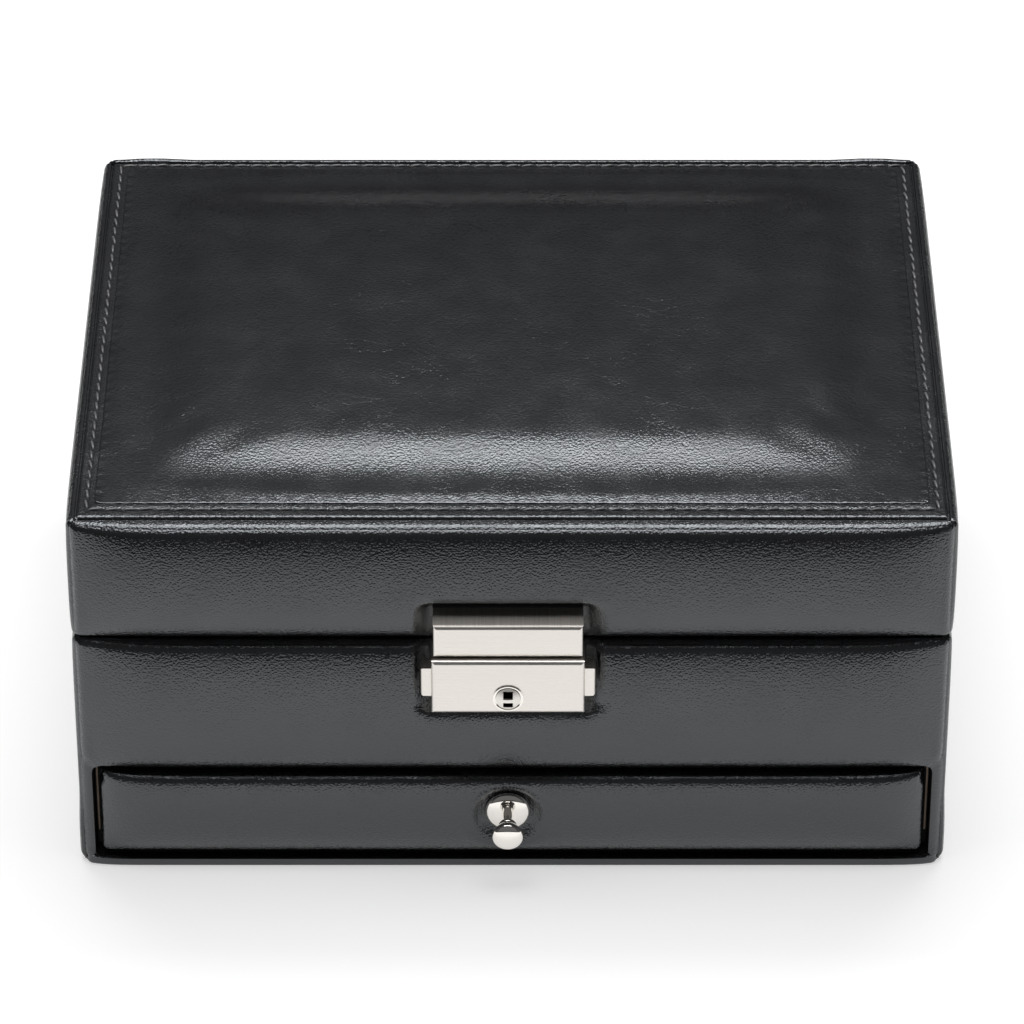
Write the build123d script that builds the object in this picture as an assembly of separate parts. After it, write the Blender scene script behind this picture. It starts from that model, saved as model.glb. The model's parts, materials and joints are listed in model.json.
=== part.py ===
from build123d import *

import math
import os

# A leather-covered cufflink box: a hinged lid with a padded top, a box lock worked by two
# push buttons and a key, a divided tray under the lid and a drawer below the tray.
# Frame: origin at the centre of the base, +X right, the drawer pulls out along -Y, +Z up.
# Every length is in millimetres.

# ---- Outside of the box ----------------------------------------------------------------
WIDTH = 200.0  # over the leather at its edges
DEPTH = 155.0  # over the leather at its edges
BODY_TOP = 65.2  # top edge of the body's leather
LID_GAP = 0.5  # daylight between body and lid
LID_TOP = 97.0  # leather rim round the top of the lid
LEATHER = 0.8  # leather and glue over a board
SWELL = 1.2  # how far the padding lifts the leather in the middle of a face
EDGE_RADIUS = 0.7  # rounding of a covered edge

# ---- Boards ----------------------------------------------------------------------------
SIDE_BOARD = 2.2
FRONT_BOARD = 3.2
BACK_BOARD = 6.0  # thicker, because it carries the hinge
BASE_BOARD = 2.0
DECK_BOARD = 2.2
TOP_BOARD = 2.6
BOTTOM_SHEET = 0.6  # felt sheet glued under the base
BOTTOM_INSET = 2.0

# ---- Tray under the lid ----------------------------------------------------------------
FLOOR_LINING = 0.8
WALL_LINING = 1.9  # suede on card, so that it stands up by itself
LIP_RISE = 3.0  # linings rise past the body's edge to locate the lid
LIP_SETBACK = 1.1
LIP_TAPER = 0.8
CELL_COUNT_ACROSS = 5
CELL_COUNT_DEEP = 3
DIVIDER = 2.0
DIVIDER_HEIGHT = 24.0
JOINT_CLEARANCE = 0.1  # each side of a halved joint

# ---- Lid -------------------------------------------------------------------------------
LID_RIM = 1.7  # width of the folded leather rim
RIM_GROOVE = 0.5
PANEL = 1.1  # leather panel let into the rim
PANEL_EDGE_RADIUS = 0.5
PAD_MARGIN_X = 3.8  # panel left bare beside the pad, with the stitching
PAD_MARGIN_Y = 4.3
PAD_CORNER = 3.0
PAD_EDGE = 0.6
PAD_END_RISE = 0.15  # rise of the shoulder at the pad's two ends
PAD_RISE = 3.3  # edge to the inner end of the shoulder
PAD_DOME_HEIGHT = 0.5  # further rise in the middle
PAD_SHOULDER = 16.0
LID_LINING = 1.2
LID_WALL_LINING = 0.6

# ---- Hinge -----------------------------------------------------------------------------
HINGE_INSET = 1.9  # axis, in from the leather at the back
OPEN_ANGLE = 95.0
STOP_CLEARANCE = 3.0  # degrees left between the two bevels when the lid is open
KNUCKLE_RADIUS = 1.2
PIN_RADIUS = 0.58
PIN_CLEARANCE = 0.02
KNUCKLE_PITCH = 10.0
KNUCKLE_COUNT = 17
KNUCKLE_GAP = 0.3
KNUCKLE_CHANNEL = 0.25  # room round a knuckle
HINGE_LEAF = 0.5
LEAF_WIDTH = 4.5  # from the axis to the leaf's far edge
LEAF_SCREW_COUNT = 6

# ---- Drawer ----------------------------------------------------------------------------
DRAWER_OPENING = 26.6  # height
OPENING_CORNER = 1.5
FRONT_GAP_SIDE = 1.6
FRONT_GAP_BOTTOM = 1.1
FRONT_GAP_TOP = 1.6
DRAWER_SWELL = 1.0
DRAWER_CLEARANCE = 0.4  # to the walls of its bay
RUNNER_CLEARANCE = 0.3
DRAWER_SIDE = 3.0
DRAWER_SIDE_HEIGHT = 22.7
DRAWER_BACK = 2.4
DRAWER_BOTTOM = 2.0
DRAWER_BOTTOM_RAISE = 0.5
DRAWER_WALL_LINING = 0.6
COMPARTMENT_COUNT = 3
DRAWER_DIVIDER = 2.4
DRAWER_DIVIDER_HEIGHT = 15.0

# ---- Knob ------------------------------------------------------------------------------
KNOB_X = -1.0
KNOB_RISE = 0.45  # above the middle of the drawer front
ROSETTE_RADIUS = 5.2
ROSETTE_EDGE = 0.5
ROSETTE_HEIGHT = 1.9
ROSETTE_BELLY = 0.3  # how far the dome is fuller than a cone
STEM_RADIUS = 1.3
BEAD_RADIUS = 2.05
BEAD_THICKNESS = 1.2
BEAD_EDGE_RADIUS = 0.4
BALL_RADIUS = 3.55
BALL_BACK = 3.3  # widest place to the bead
BALL_FRONT = 1.3  # the flattened front
BALL_REACH = 9.9  # seat to the ball's widest place
KNOB_SCREW_RADIUS = 0.8
KNOB_HEAD_RADIUS = 1.9
KNOB_HEAD = 1.2
KNOB_SCREW_REACH = 4.0  # into the knob

# ---- Lock ------------------------------------------------------------------------------
LOCK_X = -0.9
CASING_WIDTH = 34.8
CASING_HEIGHT = 14.5
CASING_DROP = 0.2  # casing's top below the body's edge
CASING_DEPTH = 8.1
CASING_WALL = 0.8
CASING_EDGE_RADIUS = 0.9
LOCK_PLATE = 0.6
HASP_WIDTH = 34.0
HASP_HEIGHT = 8.65
HASP_OVERHANG = 0.45  # hasp's underside below the lid's leather
HASP_DEPTH = 7.4
HASP_WALL = 1.2
SEAT_MARGIN = 0.3  # leather pressed flat round the fittings
BUTTON_OUT = 2.4
BUTTON_RISE = 4.1  # button's underside above the casing's
BUTTON_HEIGHT = 7.7
BUTTON_DEPTH = 4.0
BUTTON_SETBACK = 1.2  # behind the casing's front
BUTTON_EDGE_RADIUS = 0.7
BUTTON_CLEARANCE = 0.1
BUTTON_TRAVEL = 2.0
BUTTON_FLANGE = 1.5
RETAIN = 0.3  # flange past its window
ARM_HEIGHT = 3.6
ARM_DROP = 0.3
HOOK_END = 2.6  # from the lock's middle
HOOK_WIDTH = 1.9
HOOK_HEIGHT = 1.2
CATCH_GAP = 0.3  # hook to the strike's lip, beside it and above it
LIP_WIDTH = 1.2
LIP_HEIGHT = 1.2
LEG_WIDTH = 1.5
STRIKE = 1.2
STRIKE_DROP = 6.8  # below the casing's top
STRIKE_PLAY = 1.1
SLOT_SIDE_PLAY = 0.3
SLOT_DEPTH_PLAY = 0.5
PILLAR_NEAR = 3.6
PILLAR_WIDTH = 1.2
PILLAR_HEIGHT = 6.5
SPRING_RADIUS = 1.1
SPRING_WIRE = 0.4
SPRING_TURN_COUNT = 7
SPRING_HEIGHT = 5.8  # axis above the casing's underside
TAIL_HEIGHT = 1.2
TAIL_PLAY = 0.2  # between a pressed button's tail and the turned cam
KEY_RISE = 4.35  # key's axis above the casing's underside
BARREL_RADIUS = 2.8
BARREL_DOME = 0.5
BARREL_CLEARANCE = 0.05
ESCUTCHEON_RADIUS = 3.45
ESCUTCHEON_PROUD = 0.4
ESCUTCHEON_GROOVE = 0.3
ESCUTCHEON_FLOOR = 0.04  # the groove's floor, proud of the casing
KEYWAY_WIDTH = 2.2
KEYWAY_HEIGHT = 4.4
KEYWAY_DEPTH = 4.0
KEYWAY_WEB = 0.9
KEYWAY_WEB_DROP = 0.35  # the upper opening is the larger
CAM = 1.0
CAM_REACH = 3.1
CAM_WIDTH = 2.0
CAM_BACK_PLAY = 1.4
SPIGOT_RADIUS = 1.0
SPIGOT_END = 0.2
LOCK_SCREW_RADIUS = 0.7
LOCK_HEAD_RADIUS = 1.5
LOCK_HEAD = 0.9
SCREW_END = 1.2  # metal left in front of a blind hole
BOSS_WIDTH = 4.6
TAP_CLEARANCE = 0.05
HOLE_CLEARANCE = 0.15
FIT_CLEARANCE = 0.1

# ---- Places that follow from the sizes ---------------------------------------------------
OUT_X = WIDTH / 2 - LEATHER
OUT_Y = DEPTH / 2 - LEATHER
IN_X = OUT_X - SIDE_BOARD
IN_FRONT = -OUT_Y + FRONT_BOARD
IN_BACK = OUT_Y - BACK_BOARD
BOARD_TOP = BODY_TOP - LEATHER
BAY_BOTTOM = BOTTOM_SHEET + BASE_BOARD
BAY_TOP = BAY_BOTTOM + DRAWER_OPENING
DECK_TOP = BAY_TOP + DECK_BOARD
TRAY_FLOOR = DECK_TOP + FLOOR_LINING
TRAY_X = IN_X - WALL_LINING
TRAY_FRONT = IN_FRONT + WALL_LINING
TRAY_BACK = IN_BACK - WALL_LINING
LID_BOTTOM = BODY_TOP + LID_GAP
LID_BOARD_BOTTOM = LID_BOTTOM + LEATHER
TOP_BOARD_TOP = LID_TOP - LEATHER
TOP_BOARD_BOTTOM = TOP_BOARD_TOP - TOP_BOARD
LID_CEILING = TOP_BOARD_BOTTOM - LID_LINING
PANEL_X = WIDTH / 2 - LID_RIM - RIM_GROOVE
PANEL_Y = DEPTH / 2 - LID_RIM - RIM_GROOVE
PANEL_TOP = TOP_BOARD_TOP + PANEL
HINGE_Y = DEPTH / 2 - HINGE_INSET
HINGE_Z = BODY_TOP + LID_GAP / 2
BORE_RADIUS = PIN_RADIUS + PIN_CLEARANCE
CHANNEL_RADIUS = KNUCKLE_RADIUS + KNUCKLE_CHANNEL
HINGE_LENGTH = KNUCKLE_PITCH * KNUCKLE_COUNT
BIG = WIDTH + DEPTH  # longer than the box, for cutters
SEAT_Y = -DEPTH / 2  # leather pressed flat under a fitting

FRONT_X = IN_X - FRONT_GAP_SIDE
FRONT_BOTTOM = BAY_BOTTOM + FRONT_GAP_BOTTOM
FRONT_TOP = BAY_TOP - FRONT_GAP_TOP
DRAWER_OUT_X = IN_X - DRAWER_CLEARANCE
DRAWER_IN_X = DRAWER_OUT_X - DRAWER_SIDE
DRAWER_END = IN_BACK - DRAWER_CLEARANCE
DRAWER_INNER_END = DRAWER_END - DRAWER_BACK
RUNNER_BOTTOM = BAY_BOTTOM + RUNNER_CLEARANCE
DRAWER_SIDE_TOP = RUNNER_BOTTOM + DRAWER_SIDE_HEIGHT
DRAWER_BOTTOM_Z = RUNNER_BOTTOM + DRAWER_BOTTOM_RAISE
DRAWER_FLOOR = DRAWER_BOTTOM_Z + DRAWER_BOTTOM
DRAWER_LINED_FLOOR = DRAWER_FLOOR + FLOOR_LINING
KNOB_Z = (FRONT_BOTTOM + FRONT_TOP) / 2 + KNOB_RISE
KNOB_SEAT = SEAT_Y - DRAWER_SWELL / 2

CASING_X = CASING_WIDTH / 2
CASING_TOP = BODY_TOP - CASING_DROP
CASING_BOTTOM = CASING_TOP - CASING_HEIGHT
CAVITY_X = CASING_X - CASING_WALL
CAVITY_BOTTOM = CASING_BOTTOM + CASING_WALL
CAVITY_TOP = CASING_TOP - CASING_WALL
PLATE_Y = SEAT_Y - LOCK_PLATE  # front of the back plate
CASING_FRONT = PLATE_Y - CASING_DEPTH
CAVITY_FRONT = CASING_FRONT + CASING_WALL
STRIKE_BACK = PLATE_Y - STRIKE_PLAY
STRIKE_FRONT = STRIKE_BACK - STRIKE
STRIKE_BOTTOM = CASING_TOP - STRIKE_DROP
LIP_NEAR = HOOK_END + HOOK_WIDTH + CATCH_GAP
LEG_NEAR = LIP_NEAR + LIP_WIDTH
LEG_FAR = LEG_NEAR + LEG_WIDTH
BUTTON_BOTTOM = CASING_BOTTOM + BUTTON_RISE
BUTTON_TOP = BUTTON_BOTTOM + BUTTON_HEIGHT
BUTTON_FRONT = CASING_FRONT + BUTTON_SETBACK
BUTTON_BACK = BUTTON_FRONT + BUTTON_DEPTH
FLANGE_BOTTOM = BUTTON_BOTTOM - RETAIN
FLANGE_OUT = CAVITY_X - BUTTON_CLEARANCE
FLANGE_IN = FLANGE_OUT - BUTTON_FLANGE
BOSS_TOP = FLANGE_BOTTOM - BUTTON_CLEARANCE
HASP_X = HASP_WIDTH / 2
HASP_BOTTOM = LID_BOTTOM - HASP_OVERHANG
HASP_TOP = HASP_BOTTOM + HASP_HEIGHT
HASP_FRONT = SEAT_Y - HASP_DEPTH
KEY_Z = CASING_BOTTOM + KEY_RISE
CAM_BACK = PLATE_Y - CAM_BACK_PLAY
CAM_FRONT = CAM_BACK - CAM
SIDES = (-1, 1)


# ---- Shapes used by many pieces ------------------------------------------------------------
def block(x_range, y_range, z_range):
    """A box between three pairs of coordinates."""
    spans = (x_range, y_range, z_range)
    size = [high - low for low, high in spans]
    middle = [(high + low) / 2 for low, high in spans]
    return Pos(*middle) * Box(*size)


def beside(side, near, far, y_range, z_range):
    """A box on one side of the lock's middle, from near to far."""
    ends = sorted((LOCK_X + side * near, LOCK_X + side * far))
    return block(ends, y_range, z_range)


def rod_y(x, z, radius, y_range):
    """A round bar along Y."""
    low, high = y_range
    return Pos(x, (low + high) / 2, z) * Rot(90, 0, 0) * Cylinder(radius, high - low)


def rod_x(y, z, radius, x_range):
    """A round bar along X."""
    low, high = x_range
    return Pos((low + high) / 2, y, z) * Rot(0, 90, 0) * Cylinder(radius, high - low)


def turned(points, x, seat, z):
    """A turned piece: (radius, reach) points spun about an axis that leaves the seat along -Y."""
    profile = make_face(Polyline(*[(radius, reach) for radius, reach in points], close=True))
    return Pos(x, seat, z) * Rot(180, 0, 0) * revolve(profile, Axis.Y)


def swollen_profile(half, z_range, swell):
    """An upright outline whose two sides swell between its corners."""
    low, high = z_range
    middle = (low + high) / 2
    right = ThreePointArc((half, low), (half + swell, middle), (half, high))
    left = ThreePointArc((-half, high), (-half - swell, middle), (-half, low))
    base = Line((-half, low), (half, low))
    top = Line((half, high), (-half, high))
    return make_face([base, right, top, left])


def swollen_block(z_range):
    """The leather outside of the body or the lid, its four faces lifted by their padding."""
    across = extrude(Plane.XZ * swollen_profile(WIDTH / 2, z_range, SWELL), BIG, both=True)
    along = extrude(Plane.YZ * swollen_profile(DEPTH / 2, z_range, SWELL), BIG, both=True)
    return rolled(across & along, Axis.Z, EDGE_RADIUS)


def rolled(shape, axis, radius):
    """The shape with the edges of its last face along the axis rounded."""
    return fillet(shape.faces().sort_by(axis)[-1].edges(), radius)


def csk_screw(head_radius, head, shank_radius, length):
    """A countersunk screw that points down, the top of its head at the origin."""
    cone = Pos(0, 0, -head / 2) * Cone(shank_radius, head_radius, head)
    shank = Pos(0, 0, -(head + length) / 2) * Cylinder(shank_radius, length - head)
    return cone + shank


def save(name, shape):
    export_step(shape, f"parts/{name}.step")


# ---- Cuts that several pieces share --------------------------------------------------------
def hinge_channel():
    """Room for the knuckles along the back edge."""
    half = HINGE_LENGTH / 2 + KNUCKLE_GAP
    return rod_x(HINGE_Y, HINGE_Z, CHANNEL_RADIUS, (-half, half))


def back_bevel():
    """The V behind the hinge axis. Its two faces meet, as the lid's stop, just past full opening."""
    reach = HINGE_INSET + SWELL + EDGE_RADIUS
    rise = reach * math.tan(math.radians((OPEN_ANGLE + STOP_CLEARANCE) / 2))
    apex = (HINGE_Y, HINGE_Z)
    upper = (HINGE_Y + reach, HINGE_Z + rise)
    lower = (HINGE_Y + reach, HINGE_Z - rise)
    return extrude(Plane.YZ * make_face(Polyline(apex, upper, lower, close=True)), BIG, both=True)


def leaf_seat(x_half, low, high):
    """Where a hinge leaf lies on a board, cut out of the leather."""
    return block((-x_half, x_half), (HINGE_Y - LEAF_WIDTH - FIT_CLEARANCE, HINGE_Y), (low, high))


def leaf_screw_places():
    """Screw places along a leaf, spaced evenly, with half a space at each end."""
    step = HINGE_LENGTH / LEAF_SCREW_COUNT
    y = HINGE_Y - (LEAF_WIDTH + CHANNEL_RADIUS) / 2
    return [((i - (LEAF_SCREW_COUNT - 1) / 2) * step, y) for i in range(LEAF_SCREW_COUNT)]


def lock_screw_places():
    z = (CAVITY_BOTTOM + BOSS_TOP) / 2
    return [(LOCK_X + side * (CAVITY_X - BOSS_WIDTH / 2), z) for side in SIDES]


def hasp_screw_places():
    z = (HASP_BOTTOM + HASP_TOP) / 2
    return [(LOCK_X + side * (HASP_X - HASP_WALL - BOSS_WIDTH / 2), z) for side in SIDES]


def through_screw(x, z, front):
    """A screw from inside a front wall, its head sunk in the board, its tip at front."""
    screw = csk_screw(LOCK_HEAD_RADIUS, LOCK_HEAD, LOCK_SCREW_RADIUS, IN_FRONT - front)
    return Pos(x, IN_FRONT, z) * Rot(-90, 0, 0) * screw


def through_hole(x, z):
    """Clearance for a through_screw in board and leather."""
    radius = LOCK_SCREW_RADIUS + HOLE_CLEARANCE
    head = LOCK_HEAD_RADIUS + HOLE_CLEARANCE
    length = FRONT_BOARD + LEATHER + SWELL + LOCK_PLATE
    return Pos(x, IN_FRONT, z) * Rot(-90, 0, 0) * csk_screw(head, LOCK_HEAD + HOLE_CLEARANCE, radius, length)


# ---- Body ------------------------------------------------------------------------------------
def body_boards():
    """The glued boards of the body, by name."""
    full_height = (BOTTOM_SHEET, BOARD_TOP)
    between = (-IN_X, IN_X)
    channel = hinge_channel()
    bevel = back_bevel()
    back = block(between, (IN_BACK, OUT_Y), full_height) - channel - bevel
    front = block(between, (-OUT_Y, IN_FRONT), (BAY_TOP, BOARD_TOP))
    for x, y in leaf_screw_places():
        back -= leaf_pilot(x, y, BOARD_TOP, -1)
    for x, z in lock_screw_places():
        front -= through_hole(x, z)
    return {
        "base_board": block(between, (-OUT_Y, IN_BACK), (BOTTOM_SHEET, BAY_BOTTOM)),
        "side_wall_left": block((-OUT_X, -IN_X), (-OUT_Y, OUT_Y), full_height) - bevel,
        "side_wall_right": block((IN_X, OUT_X), (-OUT_Y, OUT_Y), full_height) - bevel,
        "back_wall": back,
        "front_wall": front,
        "deck_board": block(between, (IN_FRONT, IN_BACK), (BAY_TOP, DECK_TOP)),
    }


def bottom_cover():
    x = WIDTH / 2 - BOTTOM_INSET
    y = DEPTH / 2 - BOTTOM_INSET
    return block((-x, x), (-y, y), (0, BOTTOM_SHEET))


def drawer_opening():
    """The cut in the leather for the drawer. Only its upper corners are rounded."""
    centre_z = (BAY_BOTTOM + BAY_TOP) / 2
    outline = Pos(0, centre_z) * Rectangle(2 * IN_X, DRAWER_OPENING)
    upper = outline.vertices().sort_by(Axis.Y)[-2:]
    rounded = fillet(upper, OPENING_CORNER)
    return Pos(0, -OUT_Y, 0) * extrude(Plane.XZ * rounded, BIG)


def body_cover():
    """Leather round the body, turned over its top edge."""
    cover = swollen_block((BOTTOM_SHEET, BODY_TOP))
    cover -= block((-OUT_X, OUT_X), (-OUT_Y, OUT_Y), (BOTTOM_SHEET, BOARD_TOP))
    cover -= block((-IN_X, IN_X), (IN_FRONT, IN_BACK), (BOTTOM_SHEET, BODY_TOP))
    cover -= drawer_opening()
    cover -= hinge_channel()
    cover -= back_bevel()
    cover -= leaf_seat(HINGE_LENGTH / 2 + FIT_CLEARANCE, BOARD_TOP, BODY_TOP)
    margin = CASING_X + SEAT_MARGIN
    pocket = (LOCK_X - margin, LOCK_X + margin)
    cover -= block(pocket, (-BIG, SEAT_Y), (CASING_BOTTOM - SEAT_MARGIN, BODY_TOP))
    for x, z in lock_screw_places():
        cover -= through_hole(x, z)
    return cover


# ---- Tray --------------------------------------------------------------------------------------
def lip_profile(low, high):
    """Across the tray: full width up to the body's edge, then set back to clear the lid."""
    tip = BODY_TOP + LIP_RISE
    shoulder = BODY_TOP + LIP_TAPER
    points = [(low, DECK_TOP), (high, DECK_TOP), (high, BODY_TOP), (high - LIP_SETBACK, shoulder)]
    points += [(high - LIP_SETBACK, tip), (low + LIP_SETBACK, tip)]
    points += [(low + LIP_SETBACK, shoulder), (low, BODY_TOP)]
    return make_face(Polyline(*points, close=True))


def lip_envelope():
    across = extrude(Plane.XZ * lip_profile(-IN_X, IN_X), BIG, both=True)
    along = extrude(Plane.YZ * lip_profile(IN_FRONT, IN_BACK), BIG, both=True)
    return across & along


def tray_linings():
    """Suede-covered cards round the tray, whose tops form the lip that locates the lid."""
    envelope = lip_envelope()
    height = (TRAY_FLOOR, BODY_TOP + LIP_RISE)
    full_depth = (IN_FRONT, IN_BACK)
    between = (-TRAY_X, TRAY_X)
    return {
        "tray_floor_lining": block((-IN_X, IN_X), full_depth, (DECK_TOP, TRAY_FLOOR)),
        "tray_lining_left": block((-IN_X, -TRAY_X), full_depth, height) & envelope,
        "tray_lining_right": block((TRAY_X, IN_X), full_depth, height) & envelope,
        "tray_lining_front": block(between, (IN_FRONT, TRAY_FRONT), height) & envelope,
        "tray_lining_back": block(between, (TRAY_BACK, IN_BACK), height) & envelope,
    }


def division(low, high, count):
    """Centres of the dividers that split a span into count cells."""
    step = (high - low) / count
    return [low + step * i for i in range(1, count)]


def tray_dividers():
    """Crossed dividers, each halved where it meets another."""
    height = (TRAY_FLOOR, TRAY_FLOOR + DIVIDER_HEIGHT)
    middle = TRAY_FLOOR + DIVIDER_HEIGHT / 2
    half = DIVIDER / 2
    notch = half + JOINT_CLEARANCE
    xs = division(-TRAY_X, TRAY_X, CELL_COUNT_ACROSS)
    ys = division(TRAY_FRONT, TRAY_BACK, CELL_COUNT_DEEP)
    pieces = {}
    for number, y in enumerate(ys, 1):
        piece = block((-TRAY_X, TRAY_X), (y - half, y + half), height)
        for x in xs:
            piece -= block((x - notch, x + notch), (y - half, y + half), (middle, height[1]))
        pieces[f"tray_divider_long_{number}"] = piece
    for number, x in enumerate(xs, 1):
        piece = block((x - half, x + half), (TRAY_FRONT, TRAY_BACK), height)
        for y in ys:
            piece -= block((x - half, x + half), (y - notch, y + notch), (height[0], middle))
        pieces[f"tray_divider_cross_{number}"] = piece
    return pieces


# ---- Lid -----------------------------------------------------------------------------------------
def lid_boards():
    """The glued boards of the lid, by name."""
    height = (LID_BOARD_BOTTOM, TOP_BOARD_BOTTOM)
    between = (-IN_X, IN_X)
    bevel = back_bevel()
    back = block(between, (IN_BACK, OUT_Y), height) - hinge_channel() - bevel
    front = block(between, (-OUT_Y, IN_FRONT), height)
    for x, y in leaf_screw_places():
        back -= leaf_pilot(x, y, LID_BOARD_BOTTOM, 1)
    for x, z in hasp_screw_places():
        front -= through_hole(x, z)
    top = block((-OUT_X, OUT_X), (-OUT_Y, OUT_Y), (TOP_BOARD_BOTTOM, TOP_BOARD_TOP))
    return {
        "lid_left_wall": block((-OUT_X, -IN_X), (-OUT_Y, OUT_Y), height) - bevel,
        "lid_right_wall": block((IN_X, OUT_X), (-OUT_Y, OUT_Y), height) - bevel,
        "lid_back_wall": back,
        "lid_front_wall": front,
        "lid_top_board": top,
    }


def lid_cover():
    """Leather round the lid, folded over its top as a rim and turned in under its walls."""
    cover = swollen_block((LID_BOTTOM, LID_TOP))
    cover -= block((-OUT_X, OUT_X), (-OUT_Y, OUT_Y), (LID_BOARD_BOTTOM, TOP_BOARD_TOP))
    cover -= block((-IN_X, IN_X), (IN_FRONT, IN_BACK), (LID_BOTTOM, LID_BOARD_BOTTOM))
    well_x = PANEL_X + RIM_GROOVE
    well_y = PANEL_Y + RIM_GROOVE
    cover -= block((-well_x, well_x), (-well_y, well_y), (TOP_BOARD_TOP, LID_TOP))
    cover -= hinge_channel()
    cover -= back_bevel()
    cover -= leaf_seat(HINGE_LENGTH / 2 + FIT_CLEARANCE, LID_BOTTOM, LID_BOARD_BOTTOM)
    margin = HASP_X + SEAT_MARGIN
    pocket = (LOCK_X - margin, LOCK_X + margin)
    cover -= block(pocket, (-BIG, SEAT_Y), (LID_BOTTOM, HASP_TOP + SEAT_MARGIN))
    for x, z in hasp_screw_places():
        cover -= through_hole(x, z)
    return cover


def lid_panel():
    """The stiff leather panel let into the rim. Its upper edge is rolled over."""
    panel = block((-PANEL_X, PANEL_X), (-PANEL_Y, PANEL_Y), (TOP_BOARD_TOP, PANEL_TOP))
    return fillet(panel.faces().sort_by(Axis.Z)[-1].edges(), PANEL_EDGE_RADIUS)


def pad_half_depth(x, half_x, half_y):
    """The seam's distance from the middle at x, with rounded corners in plan."""
    into_corner = max(0.0, abs(x) - (half_x - PAD_CORNER))
    return half_y - PAD_CORNER + math.sqrt(max(0.0, PAD_CORNER**2 - into_corner**2))


def pad_rise(x, half_x):
    """Height of the crown over the edge at x: a shoulder that levels out, then a shallow dome."""
    radius = (PAD_SHOULDER**2 + PAD_RISE**2) / (2 * PAD_RISE)
    short = max(0.0, PAD_SHOULDER - (half_x - abs(x)))
    shoulder = math.sqrt(radius**2 - short**2) - (radius - PAD_RISE)
    return max(shoulder, PAD_END_RISE)


def pad_section(x, half_x, half_y):
    """One upright slice of the pad: a flat base, short sides, two shoulders and the crown."""
    half = pad_half_depth(x, half_x, half_y)
    rise = pad_rise(x, half_x)
    edge = PANEL_TOP + PAD_EDGE
    shoulder = edge + rise
    radius = (PAD_SHOULDER**2 + rise**2) / (2 * rise)
    half_turn = math.asin(PAD_SHOULDER / radius) / 2
    bend_y = half - PAD_SHOULDER + radius * math.sin(half_turn)
    bend_z = shoulder - radius * (1 - math.cos(half_turn))
    inner = half - PAD_SHOULDER
    dome = shoulder + PAD_DOME_HEIGHT * rise / PAD_RISE
    edges = [
        Line((-half, PANEL_TOP), (half, PANEL_TOP)),
        Line((half, PANEL_TOP), (half, edge)),
        ThreePointArc((half, edge), (bend_y, bend_z), (inner, shoulder)),
        ThreePointArc((inner, shoulder), (0, dome), (-inner, shoulder)),
        ThreePointArc((-inner, shoulder), (-bend_y, bend_z), (-half, edge)),
        Line((-half, edge), (-half, PANEL_TOP)),
    ]
    return Plane.YZ.offset(x) * make_face(edges)


def lid_pad():
    """The stuffed pad: drawn down at its seam, with soft shoulders and a low crown."""
    half_x = PANEL_X - PAD_MARGIN_X
    half_y = PANEL_Y - PAD_MARGIN_Y
    shares = (0.0, 0.04, 0.1, 0.2, 0.33, 0.5, 0.7, 1.0)
    places = [half_x - PAD_SHOULDER * share for share in shares]
    stations = [-x for x in places] + places[::-1]
    return loft([pad_section(x, half_x, half_y) for x in stations], ruled=True)


def lid_linings():
    """Suede inside the lid: a panel under the top board and strips on the four walls."""
    height = (LID_BOARD_BOTTOM, LID_CEILING)
    inner = IN_X - LID_WALL_LINING
    strips = [
        block((-IN_X, -inner), (IN_FRONT, IN_BACK), height),
        block((inner, IN_X), (IN_FRONT, IN_BACK), height),
        block((-inner, inner), (IN_FRONT, IN_FRONT + LID_WALL_LINING), height),
        block((-inner, inner), (IN_BACK - LID_WALL_LINING, IN_BACK), height),
    ]
    panel = block((-IN_X, IN_X), (IN_FRONT, IN_BACK), (LID_CEILING, TOP_BOARD_BOTTOM))
    return {"lid_lining_panel": panel, "lid_lining_walls": Compound(children=strips)}


# ---- Hinge -----------------------------------------------------------------------------------------
def leaf_pilot(x, y, face_z, way):
    """Hole for a leaf screw in a board: way is -1 down into the body, +1 up into the lid."""
    depth = BACK_BOARD
    low, high = sorted((face_z, face_z + way * depth))
    middle = (low + high) / 2
    return Pos(x, y, middle) * Cylinder(HINGE_LEAF + TAP_CLEARANCE, high - low)


def leaf_screw(x, y, way):
    """A leaf screw, its head flush with the leaf's inner face."""
    screw = csk_screw(2 * HINGE_LEAF, HINGE_LEAF, HINGE_LEAF, BACK_BOARD)
    face_z = BOARD_TOP + HINGE_LEAF if way < 0 else LID_BOARD_BOTTOM - HINGE_LEAF
    turn = 0 if way < 0 else 180
    return Pos(x, y, face_z) * Rot(turn, 0, 0) * screw


def leaf_hole(x, y, way):
    size = 2 * HINGE_LEAF + TAP_CLEARANCE
    hole = csk_screw(size, HINGE_LEAF, HINGE_LEAF + TAP_CLEARANCE, BACK_BOARD)
    face_z = BOARD_TOP + HINGE_LEAF if way < 0 else LID_BOARD_BOTTOM - HINGE_LEAF
    turn = 0 if way < 0 else 180
    return Pos(x, y, face_z) * Rot(turn, 0, 0) * hole


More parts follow.
